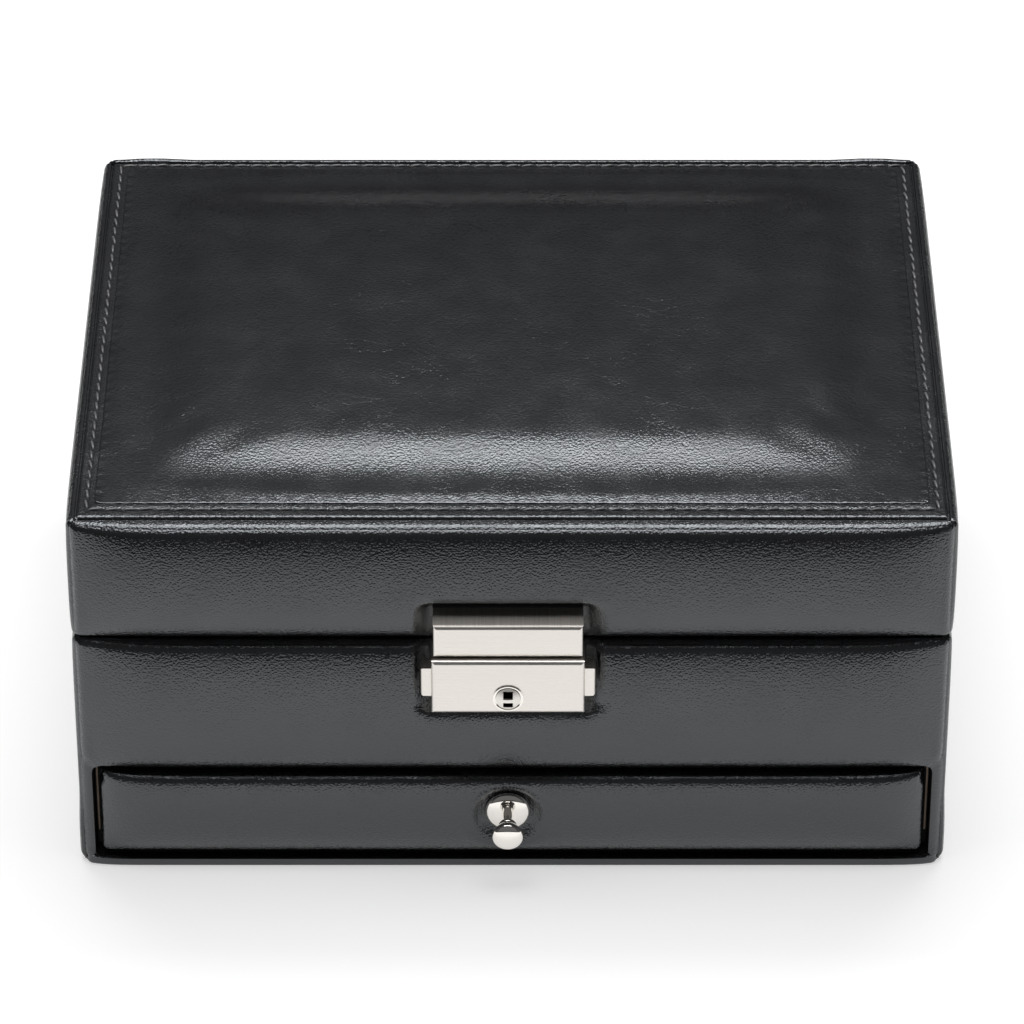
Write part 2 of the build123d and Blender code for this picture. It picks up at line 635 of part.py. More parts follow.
def hinge_leaf(first, way):
    """One leaf of the piano hinge with every second knuckle, starting from knuckle number first."""
    if way < 0:
        height = (BOARD_TOP, BOARD_TOP + HINGE_LEAF)
    else:
        height = (LID_BOARD_BOTTOM - HINGE_LEAF, LID_BOARD_BOTTOM)
    half = HINGE_LENGTH / 2
    leaf = block((-half, half), (HINGE_Y - LEAF_WIDTH, HINGE_Y - CHANNEL_RADIUS), height)
    for number in range(first, KNUCKLE_COUNT, 2):
        x = (number - (KNUCKLE_COUNT - 1) / 2) * KNUCKLE_PITCH
        span = (x - (KNUCKLE_PITCH - KNUCKLE_GAP) / 2, x + (KNUCKLE_PITCH - KNUCKLE_GAP) / 2)
        leaf += block(span, (HINGE_Y - CHANNEL_RADIUS, HINGE_Y), height)
        leaf += rod_x(HINGE_Y, HINGE_Z, KNUCKLE_RADIUS, span)
    leaf -= rod_x(HINGE_Y, HINGE_Z, BORE_RADIUS, (-half, half))
    for x, y in leaf_screw_places():
        leaf -= leaf_hole(x, y, way)
    return leaf


def hinge_pieces():
    half = HINGE_LENGTH / 2 - KNUCKLE_GAP
    places = leaf_screw_places()
    return {
        "hinge_leaf_body": hinge_leaf(0, -1),
        "hinge_leaf_lid": hinge_leaf(1, 1),
        "hinge_pin": rod_x(HINGE_Y, HINGE_Z, PIN_RADIUS, (-half, half)),
        "hinge_screws_body": Compound(children=[leaf_screw(x, y, -1) for x, y in places]),
        "hinge_screws_lid": Compound(children=[leaf_screw(x, y, 1) for x, y in places]),
    }


# ---- Lock ------------------------------------------------------------------------------------------
def rolled_shell(x_half, depth_range, z_range, wall):
    """A pressed shell, open at the back, with its outer edges rolled."""
    front, back = depth_range
    low, high = z_range
    outer = block((LOCK_X - x_half, LOCK_X + x_half), (front, back), (low, high))
    outer = fillet(outer.faces().sort_by(Axis.Y)[0].edges(), CASING_EDGE_RADIUS)
    inner_x = x_half - wall
    inner = (LOCK_X - inner_x, LOCK_X + inner_x)
    return outer - block(inner, (front + wall, back), (low + wall, high - wall))


def strike_slots(side_play, depth_play, z_range):
    """Openings through which the two legs of the strike pass."""
    depth = (STRIKE_FRONT - depth_play, STRIKE_BACK + depth_play)
    near = LIP_NEAR - side_play
    far = LEG_FAR + side_play
    return [beside(side, near, far, depth, z_range) for side in SIDES]


def lock_casing():
    """The casing on the body, with screw bosses, spring pillars, button windows and strike slots."""
    casing = rolled_shell(CASING_X, (CASING_FRONT, PLATE_Y), (CASING_BOTTOM, CASING_TOP), CASING_WALL)
    full = (CAVITY_FRONT, PLATE_Y)
    window_y = (BUTTON_FRONT - BUTTON_CLEARANCE, BUTTON_BACK + BUTTON_CLEARANCE)
    window_z = (BUTTON_BOTTOM - BUTTON_CLEARANCE, BUTTON_TOP + BUTTON_CLEARANCE)
    pillar_y = (CAVITY_FRONT, BUTTON_BACK - BUTTON_CLEARANCE)
    pillar_z = (CAVITY_BOTTOM, CAVITY_BOTTOM + PILLAR_HEIGHT)
    for side in SIDES:
        casing += beside(side, CAVITY_X - BOSS_WIDTH, CAVITY_X, full, (CAVITY_BOTTOM, BOSS_TOP))
        casing += beside(side, PILLAR_NEAR, PILLAR_NEAR + PILLAR_WIDTH, pillar_y, pillar_z)
        casing -= beside(side, CAVITY_X, CASING_X, window_y, window_z)
    for slot in strike_slots(SLOT_SIDE_PLAY, SLOT_DEPTH_PLAY, (CAVITY_TOP, CASING_TOP)):
        casing -= slot
    for x, z in lock_screw_places():
        hole = (CASING_FRONT + SCREW_END, PLATE_Y)
        casing -= rod_y(x, z, LOCK_SCREW_RADIUS + TAP_CLEARANCE, hole)
    return casing - rod_y(LOCK_X, KEY_Z, escutcheon_sleeve(), (CASING_FRONT, CAVITY_FRONT))


def escutcheon_sleeve():
    return BARREL_RADIUS + BARREL_CLEARANCE + ESCUTCHEON_GROOVE


def lock_back_plate():
    x = (LOCK_X - CASING_X, LOCK_X + CASING_X)
    plate = block(x, (PLATE_Y, SEAT_Y), (CASING_BOTTOM, CASING_TOP))
    for x, z in lock_screw_places():
        plate -= through_hole(x, z)
    return plate


def key_escutcheon():
    """A flanged ring pressed into the casing, stepped so that a groove shows round the barrel."""
    bore = BARREL_RADIUS + BARREL_CLEARANCE
    sleeve = escutcheon_sleeve()
    top = ESCUTCHEON_PROUD
    points = [(bore, -CASING_WALL), (sleeve, -CASING_WALL), (sleeve, 0), (ESCUTCHEON_RADIUS, 0)]
    points += [(ESCUTCHEON_RADIUS, top), (sleeve, top)]
    points += [(sleeve, ESCUTCHEON_FLOOR), (bore, ESCUTCHEON_FLOOR)]
    return turned(points, LOCK_X, CASING_FRONT, KEY_Z)


def push_button(side):
    """A button with its retaining flange, the arm that carries the hook and the tail for the cam."""
    z_range = (BUTTON_BOTTOM, BUTTON_TOP)
    y_range = (BUTTON_FRONT, BUTTON_BACK)
    cap = beside(side, FLANGE_OUT, CASING_X + BUTTON_OUT, y_range, z_range)
    outer = cap.faces().sort_by(Axis.X)[-1 if side > 0 else 0]
    cap = fillet(outer.edges(), BUTTON_EDGE_RADIUS)
    arm_back = STRIKE_FRONT - STRIKE_PLAY
    arm_top = BUTTON_TOP - ARM_DROP
    hook_bottom = STRIKE_BOTTOM + LIP_HEIGHT + CATCH_GAP
    hook_z = (hook_bottom, hook_bottom + HOOK_HEIGHT)
    tail_z = (FLANGE_BOTTOM, FLANGE_BOTTOM + TAIL_HEIGHT)
    tail_y = (CAM_FRONT + FIT_CLEARANCE, CAM_BACK + FIT_CLEARANCE)
    flange_y = (CAVITY_FRONT + BUTTON_CLEARANCE, CAM_BACK + FIT_CLEARANCE)
    flange_z = (FLANGE_BOTTOM, BUTTON_TOP + RETAIN)
    button = cap + beside(side, FLANGE_IN, FLANGE_OUT, flange_y, flange_z)
    button += beside(side, HOOK_END, FLANGE_OUT, (BUTTON_FRONT, arm_back), (arm_top - ARM_HEIGHT, arm_top))
    button += beside(side, HOOK_END, HOOK_END + HOOK_WIDTH, (arm_back, STRIKE_BACK + FIT_CLEARANCE), hook_z)
    tail_end = CAM_REACH + TAIL_PLAY + BUTTON_TRAVEL
    return button + beside(side, tail_end, FLANGE_OUT, tail_y, tail_z)


def button_spring(side):
    """The coil between a pillar of the casing and the button's flange."""
    near = PILLAR_NEAR + PILLAR_WIDTH + SPRING_WIRE / 2 + BARREL_CLEARANCE
    far = FLANGE_IN - SPRING_WIRE / 2 - BARREL_CLEARANCE
    coil = Helix(pitch=(far - near) / SPRING_TURN_COUNT, height=far - near, radius=SPRING_RADIUS)
    section = Plane(origin=coil @ 0, z_dir=coil % 0) * Circle(SPRING_WIRE / 2)
    wire = sweep(section, path=coil, is_frenet=True)
    y = (CAVITY_FRONT + CAM_FRONT) / 2
    place = Pos(LOCK_X + side * near, y, CASING_BOTTOM + SPRING_HEIGHT)
    return place * Rot(0, 90 * side, 0) * wire


def key_cylinder():
    """The barrel: a domed front with a keyway that a web divides, and a spigot for the cam."""
    face = CASING_FRONT - ESCUTCHEON_PROUD
    barrel = rod_y(LOCK_X, KEY_Z, BARREL_RADIUS, (face, CAM_FRONT))
    sphere = (BARREL_RADIUS**2 + BARREL_DOME**2) / (2 * BARREL_DOME)
    dome = Pos(LOCK_X, face + sphere - BARREL_DOME, KEY_Z) * Sphere(sphere)
    front = (face - BARREL_DOME, face)
    barrel += dome & rod_y(LOCK_X, KEY_Z, BARREL_RADIUS, front)
    keyway_y = (front[0], face + KEYWAY_DEPTH)
    half = KEYWAY_WIDTH / 2
    keyway_x = (LOCK_X - half, LOCK_X + half)
    keyway = block(keyway_x, keyway_y, (KEY_Z - KEYWAY_HEIGHT / 2, KEY_Z + KEYWAY_HEIGHT / 2))
    web_z = KEY_Z - KEYWAY_WEB_DROP
    web = block(keyway_x, keyway_y, (web_z - KEYWAY_WEB / 2, web_z + KEYWAY_WEB / 2))
    spigot = rod_y(LOCK_X, KEY_Z, SPIGOT_RADIUS, (CAM_FRONT, CAM_BACK + SPIGOT_END))
    return barrel - (keyway - web) + spigot


def lock_cam():
    """An oval cam behind the barrel. A quarter turn of the key lays it towards the button tails."""
    outline = SlotOverall(2 * CAM_REACH, CAM_WIDTH + 2 * SPIGOT_END, rotation=90)
    outline -= Circle(SPIGOT_RADIUS + BARREL_CLEARANCE)
    return Pos(LOCK_X, CAM_BACK, KEY_Z) * extrude(Plane.XZ * outline, CAM)


def hasp():
    """The hollow hasp on the lid, with two screw bosses and slots for the strike's legs."""
    body = rolled_shell(HASP_X, (HASP_FRONT, SEAT_Y), (HASP_BOTTOM, HASP_TOP), HASP_WALL)
    inside = (HASP_BOTTOM + HASP_WALL, HASP_TOP - HASP_WALL)
    boss_y = (HASP_FRONT + HASP_WALL, STRIKE_FRONT)
    for side in SIDES:
        inner = HASP_X - HASP_WALL
        body += beside(side, inner - BOSS_WIDTH, inner, boss_y, inside)
    for slot in strike_slots(FIT_CLEARANCE, FIT_CLEARANCE, (HASP_BOTTOM, inside[0])):
        body -= slot
    for x, z in hasp_screw_places():
        body -= rod_y(x, z, LOCK_SCREW_RADIUS + TAP_CLEARANCE, (HASP_FRONT + SCREW_END, STRIKE_FRONT))
    return body


def hasp_inner(y_range):
    """A plate that fits inside the hasp, drilled for its two screws."""
    x = HASP_X - HASP_WALL - FIT_CLEARANCE
    z = (HASP_BOTTOM + HASP_WALL + FIT_CLEARANCE, HASP_TOP - HASP_WALL - FIT_CLEARANCE)
    plate = block((LOCK_X - x, LOCK_X + x), y_range, z)
    for x, z in hasp_screw_places():
        plate -= rod_y(x, z, LOCK_SCREW_RADIUS + HOLE_CLEARANCE, y_range)
    return plate


def hasp_strike():
    """A steel plate inside the hasp whose two hooked legs reach down into the casing."""
    y_range = (STRIKE_FRONT, STRIKE_BACK)
    plate = hasp_inner(y_range)
    top = HASP_BOTTOM + HASP_WALL + 2 * FIT_CLEARANCE
    for side in SIDES:
        plate += beside(side, LEG_NEAR, LEG_FAR, y_range, (STRIKE_BOTTOM, top))
        lip_z = (STRIKE_BOTTOM, STRIKE_BOTTOM + LIP_HEIGHT)
        plate += beside(side, LIP_NEAR, LEG_NEAR, y_range, lip_z)
    return plate


def lock_pieces():
    lock_tip = CASING_FRONT + SCREW_END + LOCK_SCREW_RADIUS
    hasp_tip = HASP_FRONT + SCREW_END + LOCK_SCREW_RADIUS
    lock_screws = [through_screw(x, z, lock_tip) for x, z in lock_screw_places()]
    hasp_screws = [through_screw(x, z, hasp_tip) for x, z in hasp_screw_places()]
    return {
        "lock_casing": lock_casing(),
        "lock_back_plate": lock_back_plate(),
        "lock_screws": Compound(children=lock_screws),
        "key_escutcheon": key_escutcheon(),
        "key_cylinder": key_cylinder(),
        "lock_cam": lock_cam(),
        "push_button_left": push_button(-1),
        "push_button_right": push_button(1),
        "button_spring_left": button_spring(-1),
        "button_spring_right": button_spring(1),
        "hasp": hasp(),
        "hasp_strike": hasp_strike(),
        "hasp_back_plate": hasp_inner((STRIKE_BACK, SEAT_Y)),
        "hasp_screws": Compound(children=hasp_screws),
    }


# ---- Drawer ------------------------------------------------------------------------------------------
def knob_hole():
    """Room in board and leather for the knob's screw and its sunk head."""
    head = rod_y(KNOB_X, KNOB_Z, KNOB_HEAD_RADIUS + HOLE_CLEARANCE, (IN_FRONT - KNOB_HEAD, IN_FRONT))
    shank = rod_y(KNOB_X, KNOB_Z, KNOB_SCREW_RADIUS + HOLE_CLEARANCE, (KNOB_SEAT, IN_FRONT))
    return head + shank


def drawer_front_outline():
    """The drawer front's leather outside, with rounded corners and a swollen face."""
    z_range = (FRONT_BOTTOM, FRONT_TOP)
    middle = (FRONT_BOTTOM + FRONT_TOP) / 2
    across = Pos(0, middle) * RectangleRounded(2 * FRONT_X, FRONT_TOP - FRONT_BOTTOM, OPENING_CORNER)
    plate = Pos(0, IN_FRONT, 0) * extrude(Plane.XZ * across, BIG)
    face = swollen_profile(DEPTH / 2, z_range, DRAWER_SWELL)
    return plate & extrude(Plane.YZ * face, BIG, both=True)


def drawer_front():
    """The drawer front's board and the leather that wraps its face and edges."""
    board_x = (-FRONT_X + LEATHER, FRONT_X - LEATHER)
    board_z = (FRONT_BOTTOM + LEATHER, FRONT_TOP - LEATHER)
    board = block(board_x, (-OUT_Y, IN_FRONT), board_z)
    cover = drawer_front_outline() - board
    cover -= rod_y(KNOB_X, KNOB_Z, ROSETTE_RADIUS + SEAT_MARGIN, (-BIG, KNOB_SEAT))
    return {"drawer_front_board": board - knob_hole(), "drawer_front_cover": cover - knob_hole()}


def drawer_box():
    """Sides, back and bottom of the drawer, by name."""
    length = (IN_FRONT, DRAWER_END)
    height = (RUNNER_BOTTOM, DRAWER_SIDE_TOP)
    between = (-DRAWER_IN_X, DRAWER_IN_X)
    back_y = (DRAWER_INNER_END, DRAWER_END)
    return {
        "drawer_left_side": block((-DRAWER_OUT_X, -DRAWER_IN_X), length, height),
        "drawer_right_side": block((DRAWER_IN_X, DRAWER_OUT_X), length, height),
        "drawer_back": block(between, back_y, (DRAWER_FLOOR, DRAWER_SIDE_TOP)),
        "drawer_bottom": block(between, length, (DRAWER_BOTTOM_Z, DRAWER_FLOOR)),
    }


def drawer_linings():
    """Suede on the drawer's floor and walls, and the dividers between its compartments."""
    x = DRAWER_IN_X
    inner = x - DRAWER_WALL_LINING
    y_range = (IN_FRONT, DRAWER_INNER_END)
    front = (IN_FRONT, IN_FRONT + DRAWER_WALL_LINING)
    back = (DRAWER_INNER_END - DRAWER_WALL_LINING, DRAWER_INNER_END)
    z_range = (DRAWER_LINED_FLOOR, DRAWER_SIDE_TOP)
    strips = [block((-x, -inner), y_range, z_range), block((inner, x), y_range, z_range)]
    strips += [block((-inner, inner), front, z_range), block((-inner, inner), back, z_range)]
    divider_z = (DRAWER_LINED_FLOOR, DRAWER_LINED_FLOOR + DRAWER_DIVIDER_HEIGHT)
    half = DRAWER_DIVIDER / 2
    places = division(-inner, inner, COMPARTMENT_COUNT)
    dividers = [block((c - half, c + half), (front[1], back[0]), divider_z) for c in places]
    return {
        "drawer_floor_lining": block((-x, x), y_range, (DRAWER_FLOOR, DRAWER_LINED_FLOOR)),
        "drawer_wall_linings": Compound(children=strips),
        "drawer_dividers": Compound(children=dividers),
    }


def knob():
    """A ball with a flattened front, on a stem with a bead under it, tapped from behind."""
    stem = rod_y(KNOB_X, KNOB_Z, STEM_RADIUS, (KNOB_SEAT - BALL_REACH, KNOB_SEAT))
    bead_end = KNOB_SEAT - BALL_REACH + BALL_BACK
    bead = rod_y(KNOB_X, KNOB_Z, BEAD_RADIUS, (bead_end, bead_end + BEAD_THICKNESS))
    bead = fillet(bead.edges().filter_by(GeomType.CIRCLE), BEAD_EDGE_RADIUS)
    quarter = Rectangle(2 * BALL_RADIUS, 2 * BALL_RADIUS)
    behind = Ellipse(BALL_RADIUS, BALL_BACK) & Pos(BALL_RADIUS, BALL_RADIUS) * quarter
    ahead = Ellipse(BALL_RADIUS, BALL_FRONT) & Pos(BALL_RADIUS, -BALL_RADIUS) * quarter
    ball = Pos(KNOB_X, KNOB_SEAT - BALL_REACH, KNOB_Z) * revolve(behind + ahead, Axis.Y)
    tapped = (KNOB_SEAT - KNOB_SCREW_REACH - FIT_CLEARANCE, KNOB_SEAT)
    return stem + bead + ball - rod_y(KNOB_X, KNOB_Z, KNOB_SCREW_RADIUS + TAP_CLEARANCE, tapped)


def knob_rosette():
    """The domed washer between knob and leather."""
    bore = STEM_RADIUS + TAP_CLEARANCE
    middle_r = (ROSETTE_RADIUS + bore) / 2
    middle_h = (ROSETTE_EDGE + ROSETTE_HEIGHT) / 2 + ROSETTE_BELLY
    edges = [
        Line((bore, 0), (ROSETTE_RADIUS, 0)),
        Line((ROSETTE_RADIUS, 0), (ROSETTE_RADIUS, ROSETTE_EDGE)),
        ThreePointArc((ROSETTE_RADIUS, ROSETTE_EDGE), (middle_r, middle_h), (bore, ROSETTE_HEIGHT)),
        Line((bore, ROSETTE_HEIGHT), (bore, 0)),
    ]
    return Pos(KNOB_X, KNOB_SEAT, KNOB_Z) * Rot(180, 0, 0) * revolve(make_face(edges), Axis.Y)


def knob_screw():
    head = rod_y(KNOB_X, KNOB_Z, KNOB_HEAD_RADIUS, (IN_FRONT - KNOB_HEAD, IN_FRONT))
    shank = (KNOB_SEAT - KNOB_SCREW_REACH, IN_FRONT)
    return head + rod_y(KNOB_X, KNOB_Z, KNOB_SCREW_RADIUS, shank)


# ---- Write one file for each piece ---------------------------------------------------------------------
def all_pieces():
    pieces = {"bottom_cover": bottom_cover(), "body_cover": body_cover()}
    pieces.update(body_boards())
    pieces.update(tray_linings())
    pieces.update(tray_dividers())
    pieces.update(lid_boards())
    pieces.update({"lid_cover": lid_cover(), "lid_panel": lid_panel(), "lid_pad": lid_pad()})
    pieces.update(lid_linings())
    pieces.update(hinge_pieces())
    pieces.update(lock_pieces())
    pieces.update(drawer_front())
    pieces.update(drawer_box())
    pieces.update(drawer_linings())
    pieces.update({"knob": knob(), "knob_rosette": knob_rosette(), "knob_screw": knob_screw()})
    return pieces


os.makedirs("parts", exist_ok=True)
for name, shape in all_pieces().items():
    save(name, shape)
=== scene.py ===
"""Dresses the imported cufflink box: leather faces, stitched lid pad, metal fittings, linings and studio."""

import json
import logging
import math
from dataclasses import dataclass, field
from enum import Enum
from typing import Callable, Iterable, Sequence

import bmesh
import bpy
import numpy as np
from mathutils import Matrix, Vector

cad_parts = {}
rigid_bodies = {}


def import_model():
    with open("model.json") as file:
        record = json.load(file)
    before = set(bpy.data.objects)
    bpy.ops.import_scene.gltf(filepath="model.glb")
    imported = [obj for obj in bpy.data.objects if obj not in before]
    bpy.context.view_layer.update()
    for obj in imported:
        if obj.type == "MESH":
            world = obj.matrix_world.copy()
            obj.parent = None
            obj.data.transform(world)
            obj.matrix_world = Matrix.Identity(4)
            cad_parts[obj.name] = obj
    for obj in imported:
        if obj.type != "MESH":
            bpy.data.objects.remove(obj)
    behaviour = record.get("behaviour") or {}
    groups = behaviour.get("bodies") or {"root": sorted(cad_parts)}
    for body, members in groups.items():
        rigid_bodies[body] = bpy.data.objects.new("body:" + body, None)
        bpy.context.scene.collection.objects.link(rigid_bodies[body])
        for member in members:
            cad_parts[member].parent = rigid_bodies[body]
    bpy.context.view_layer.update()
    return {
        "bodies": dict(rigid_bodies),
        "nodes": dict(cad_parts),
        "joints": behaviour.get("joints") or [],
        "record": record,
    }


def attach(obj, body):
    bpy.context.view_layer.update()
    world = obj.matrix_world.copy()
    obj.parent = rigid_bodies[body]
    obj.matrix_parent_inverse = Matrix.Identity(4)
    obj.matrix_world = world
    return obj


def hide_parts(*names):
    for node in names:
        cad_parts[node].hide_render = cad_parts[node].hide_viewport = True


MM = 0.001
LOG = logging.getLogger("cufflink_box")

Pair = tuple[float, float]
Point = tuple[float, float, float]
Colour = tuple[float, float, float]
Array = np.ndarray
Moves = Callable[[Array], Array]
Object = bpy.types.Object
Material = bpy.types.Material
Tree = bpy.types.NodeTree
Socket = bpy.types.NodeSocket
Inputs = dict[str | int, object]

# Places that more than one piece follows, in mm
HINGE_Y, HINGE_Z = 75.6, 65.45
HINGE_HALF = 85.3
BEVEL_SLOPE = 1.1504
TRAY_X, TRAY_FRONT, TRAY_BACK = 97.0, -73.5, 70.7
LEAF_BACK = 76.6
KNOB_X, KNOB_Z = -1.0, 16.1
PAD_X, PAD_FRONT, PAD_BACK = 94.0, -70.1, 72.1
STITCH_PITCH = 3.9


class Body(Enum):
    """The bodies of the frame that pieces ride on."""

    BOX = "body"
    LID = "lid"
    DRAWER = "drawer"


class Slot(Enum):
    """The record's material slots."""

    LEATHER = "leather"
    BOARD = "board"
    SUEDE = "suede"
    FELT = "felt"
    SATIN_NICKEL = "satin_nickel"
    POLISHED_NICKEL = "polished_nickel"
    STEEL = "steel"


# ---- Workbench: bpy.ops steps that every piece uses ---------------------------------------------
def clear_selection() -> None:
    """Leave edit mode and deselect everything."""
    if bpy.context.object and bpy.context.object.mode != "OBJECT":
        bpy.ops.object.mode_set(mode="OBJECT")
    bpy.ops.object.select_all(action="DESELECT")


def take_up(obj: Object) -> None:
    """Make obj the only selected and the active object."""
    clear_selection()
    obj.select_set(True)
    bpy.context.view_layer.objects.active = obj


def add_block(name: str, low: Point, high: Point) -> Object:
    """Add a cube primitive that fills a box.

    Args:
        name: the piece's name.
        low: lowest corner, in mm.
        high: highest corner, in mm.

    Returns:
        The object, at the origin, with its place in its mesh.
    """
    clear_selection()
    middle = [(a + b) / 2 * MM for a, b in zip(low, high)]
    bpy.ops.mesh.primitive_cube_add(size=1, location=middle)
    obj = bpy.context.object
    obj.name = obj.data.name = name
    obj.scale = [(b - a) * MM for a, b in zip(low, high)]
    bpy.ops.object.transform_apply(location=True, rotation=True, scale=True)
    return obj


def section(obj: Object, axis: int, places: Iterable[float]) -> None:
    """Cut a mesh all round with planes across an axis.

    Args:
        obj: the piece.
        axis: 0, 1 or 2.
        places: the planes' places along the axis, in mm.
    """
    take_up(obj)
    bpy.ops.object.mode_set(mode="EDIT")
    normal = [0.0, 0.0, 0.0]
    normal[axis] = 1.0
    for place in places:
        bpy.ops.mesh.select_all(action="SELECT")
        bpy.ops.mesh.bisect(plane_co=[n * place * MM for n in normal], plane_no=normal)
    bpy.ops.object.mode_set(mode="OBJECT")


def pick_faces(obj: Object, test: Callable[[Vector, Vector], bool]) -> int:
    """In edit mode, select the faces whose centre (mm) and normal pass a test.

    Args:
        obj: the piece, in edit mode.
        test: says whether a face with that centre and normal is taken.

    Returns:
        How many faces are selected.
    """
    bpy.ops.mesh.select_mode(type="FACE")
    mesh = bmesh.from_edit_mesh(obj.data)
    count = 0
    for face in mesh.faces:
        taken = test(face.calc_center_median() / MM, face.normal)
        face.select_set(taken)
        count += taken
    bmesh.update_edit_mesh(obj.data)
    return count


def remove_faces(obj: Object, test: Callable[[Vector, Vector], bool]) -> None:
    """Delete the faces whose centre (mm) and normal pass a test."""
    take_up(obj)
    bpy.ops.object.mode_set(mode="EDIT")
    bpy.ops.mesh.select_all(action="DESELECT")
    if pick_faces(obj, test):
        bpy.ops.mesh.delete(type="FACE")
    bpy.ops.object.mode_set(mode="OBJECT")


def shape(obj: Object, moves: Moves) -> None:
    """Move a mesh's vertices by a function of their places in mm."""
    mesh = obj.data
    places = np.empty(len(mesh.vertices) * 3, np.float32)
    mesh.vertices.foreach_get("co", places)
    moved = moves(places.reshape(-1, 3).astype(float) / MM) * MM
    mesh.vertices.foreach_set("co", moved.astype(np.float32).ravel())
    mesh.update()


def merge_doubles(obj: Object, distance: float = 0.01) -> None:
    """Merge vertices closer than a distance in mm and point the faces outwards."""
    take_up(obj)
    bpy.ops.object.mode_set(mode="EDIT")
    bpy.ops.mesh.select_all(action="SELECT")
    bpy.ops.mesh.remove_doubles(threshold=distance * MM)
    bpy.ops.mesh.normals_make_consistent(inside=False)
    bpy.ops.object.mode_set(mode="OBJECT")


def apply_modifier(obj: Object, kind: str, **settings: object) -> None:
    """Add a modifier, set it and apply it."""
    take_up(obj)
    modifier = obj.modifiers.new(kind.lower(), kind)
    for name, value in settings.items():
        setattr(modifier, name, value)
    bpy.ops.object.modifier_apply(modifier=modifier.name)


def smooth(obj: Object, angle: float = 40.0) -> None:
    """Smooth shading, with edges sharper than an angle in degrees kept."""
    take_up(obj)
    bpy.ops.object.shade_smooth_by_angle(angle=math.radians(angle))


def spread(low: float, high: float, step: float) -> list[float]:
    """Even places between two ends, without the ends."""
    count = max(1, round((high - low) / step))
    return [low + (high - low) * i / count for i in range(1, count)]


def toward_edges(low: float, high: float, near: Sequence[float], step: float) -> list[float]:
    """Places between two ends, close together by each end and even between.

    Args:
        low: one end, in mm.
        high: the other end, in mm.
        near: distances from each end, rising.
        step: spacing of the rest.

    Returns:
        The places, in order.
    """
    inner = spread(low + near[-1], high - near[-1], step)
    return [low + d for d in near] + inner + [high - d for d in reversed(near)]


def finish_piece(obj: Object, body: Body, replaces: Sequence[str] = ()) -> None:
    """Let a piece ride on its body and what it stands for, and report it."""
    if replaces:
        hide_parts(*replaces)
    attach(obj, body.value)
    LOG.info("%s: %d faces, rides on %s", obj.name, len(obj.data.polygons), body.value)


# ---- Node groups that several finishes share ------------------------------------------------------
class NodeBench:
    """Adds and links nodes in one tree."""

    def __init__(self, tree: Tree) -> None:
        """Work on a node tree."""
        self.tree = tree

    def fit(self, node: bpy.types.Node, inputs: Inputs) -> None:
        """Link or set a node's inputs.

        Args:
            node: the node.
            inputs: values, or output sockets to link, by input name or number.
        """
        for key, value in inputs.items():
            if isinstance(value, Socket):
                self.tree.links.new(value, node.inputs[key])
            else:
                node.inputs[key].default_value = value

    def add(self, kind: str, inputs: Inputs | None = None, **settings: object) -> bpy.types.Node:
        """Add a node, set its properties, and link or set its inputs.

        Args:
            kind: the node's type.
            inputs: values, or output sockets to link, by input name or number.
            **settings: the node's properties.

        Returns:
            The node.
        """
        node = self.tree.nodes.new(kind)
        for name, value in settings.items():
            setattr(node, name, value)
        self.fit(node, inputs or {})
        return node

    def place(self) -> Socket:
        """Object coordinates."""
        return self.add("ShaderNodeTexCoord").outputs["Object"]

    def parts(self, vector: Socket) -> bpy.types.NodeOutputs:
        """The X, Y and Z of a vector."""
        return self.add("ShaderNodeSeparateXYZ", {0: vector}).outputs

    def maths(self, operation: str, a: object, b: object = 0.0) -> Socket:
        """The result of a Math node."""
        return self.add("ShaderNodeMath", {0: a, 1: b}, operation=operation).outputs[0]

    def vector(self, operation: str, a: object, b: object) -> Socket:
        """The result of a Vector Math node."""
        return self.add("ShaderNodeVectorMath", {0: a, 1: b}, operation=operation).outputs[0]

    def noise(self, place: Socket, scale: object, detail: float, output: str = "Fac", **more: float
              ) -> Socket:
        """An output of a Noise Texture."""
        values = {"Vector": place, "Scale": scale, "Detail": detail} | more
        return self.add("ShaderNodeTexNoise", values).outputs[output]

    def ramp(self, value: Socket, low: float, high: float, to: Pair = (0.0, 1.0)) -> Socket:
        """A value mapped from one range to another, held at its ends."""
        names = {"Value": value, "From Min": low, "From Max": high, "To Min": to[0], "To Max": to[1]}
        return self.add("ShaderNodeMapRange", names, clamp=True).outputs["Result"]

    def mix(self, share: Socket, a: object, b: object) -> Socket:
        """Two colours mixed."""
        first, second = (c if isinstance(c, Socket) else (*c, 1.0) for c in (a, b))
        return self.add("ShaderNodeMix", {0: share, 6: first, 7: second}, data_type="RGBA").outputs[2]

    def bump(self, height: Socket, strength: float, depth: float, **more: Socket) -> Socket:
        """The normal of a Bump node, its depth in mm."""
        values = {"Height": height, "Strength": strength, "Distance": depth * MM} | more
        return self.add("ShaderNodeBump", values).outputs["Normal"]

    def group(self, tree: Tree, **values: float) -> bpy.types.NodeOutputs:
        """Place a node group with its own values and give its outputs."""
        return self.add("ShaderNodeGroup", values, node_tree=tree).outputs


def new_group(name: str, inputs: dict[str, float], outputs: Sequence[str]
              ) -> tuple[NodeBench, bpy.types.NodeOutputs, bpy.types.Node]:
    """A shader node group of numbers.

    Args:
        name: the group's name.
        inputs: default value by input name.
        outputs: the outputs' names.

    Returns:
        A bench on its tree, its given values and its output node.
    """
    tree = bpy.data.node_groups.new(name, "ShaderNodeTree")
    for label, value in inputs.items():
        socket = tree.interface.new_socket(label, in_out="INPUT", socket_type="NodeSocketFloat")
        socket.default_value = value
    for label in outputs:
        tree.interface.new_socket(label, in_out="OUTPUT", socket_type="NodeSocketFloat")
    given = tree.nodes.new("NodeGroupInput").outputs
    return NodeBench(tree), given, tree.nodes.new("NodeGroupOutput")


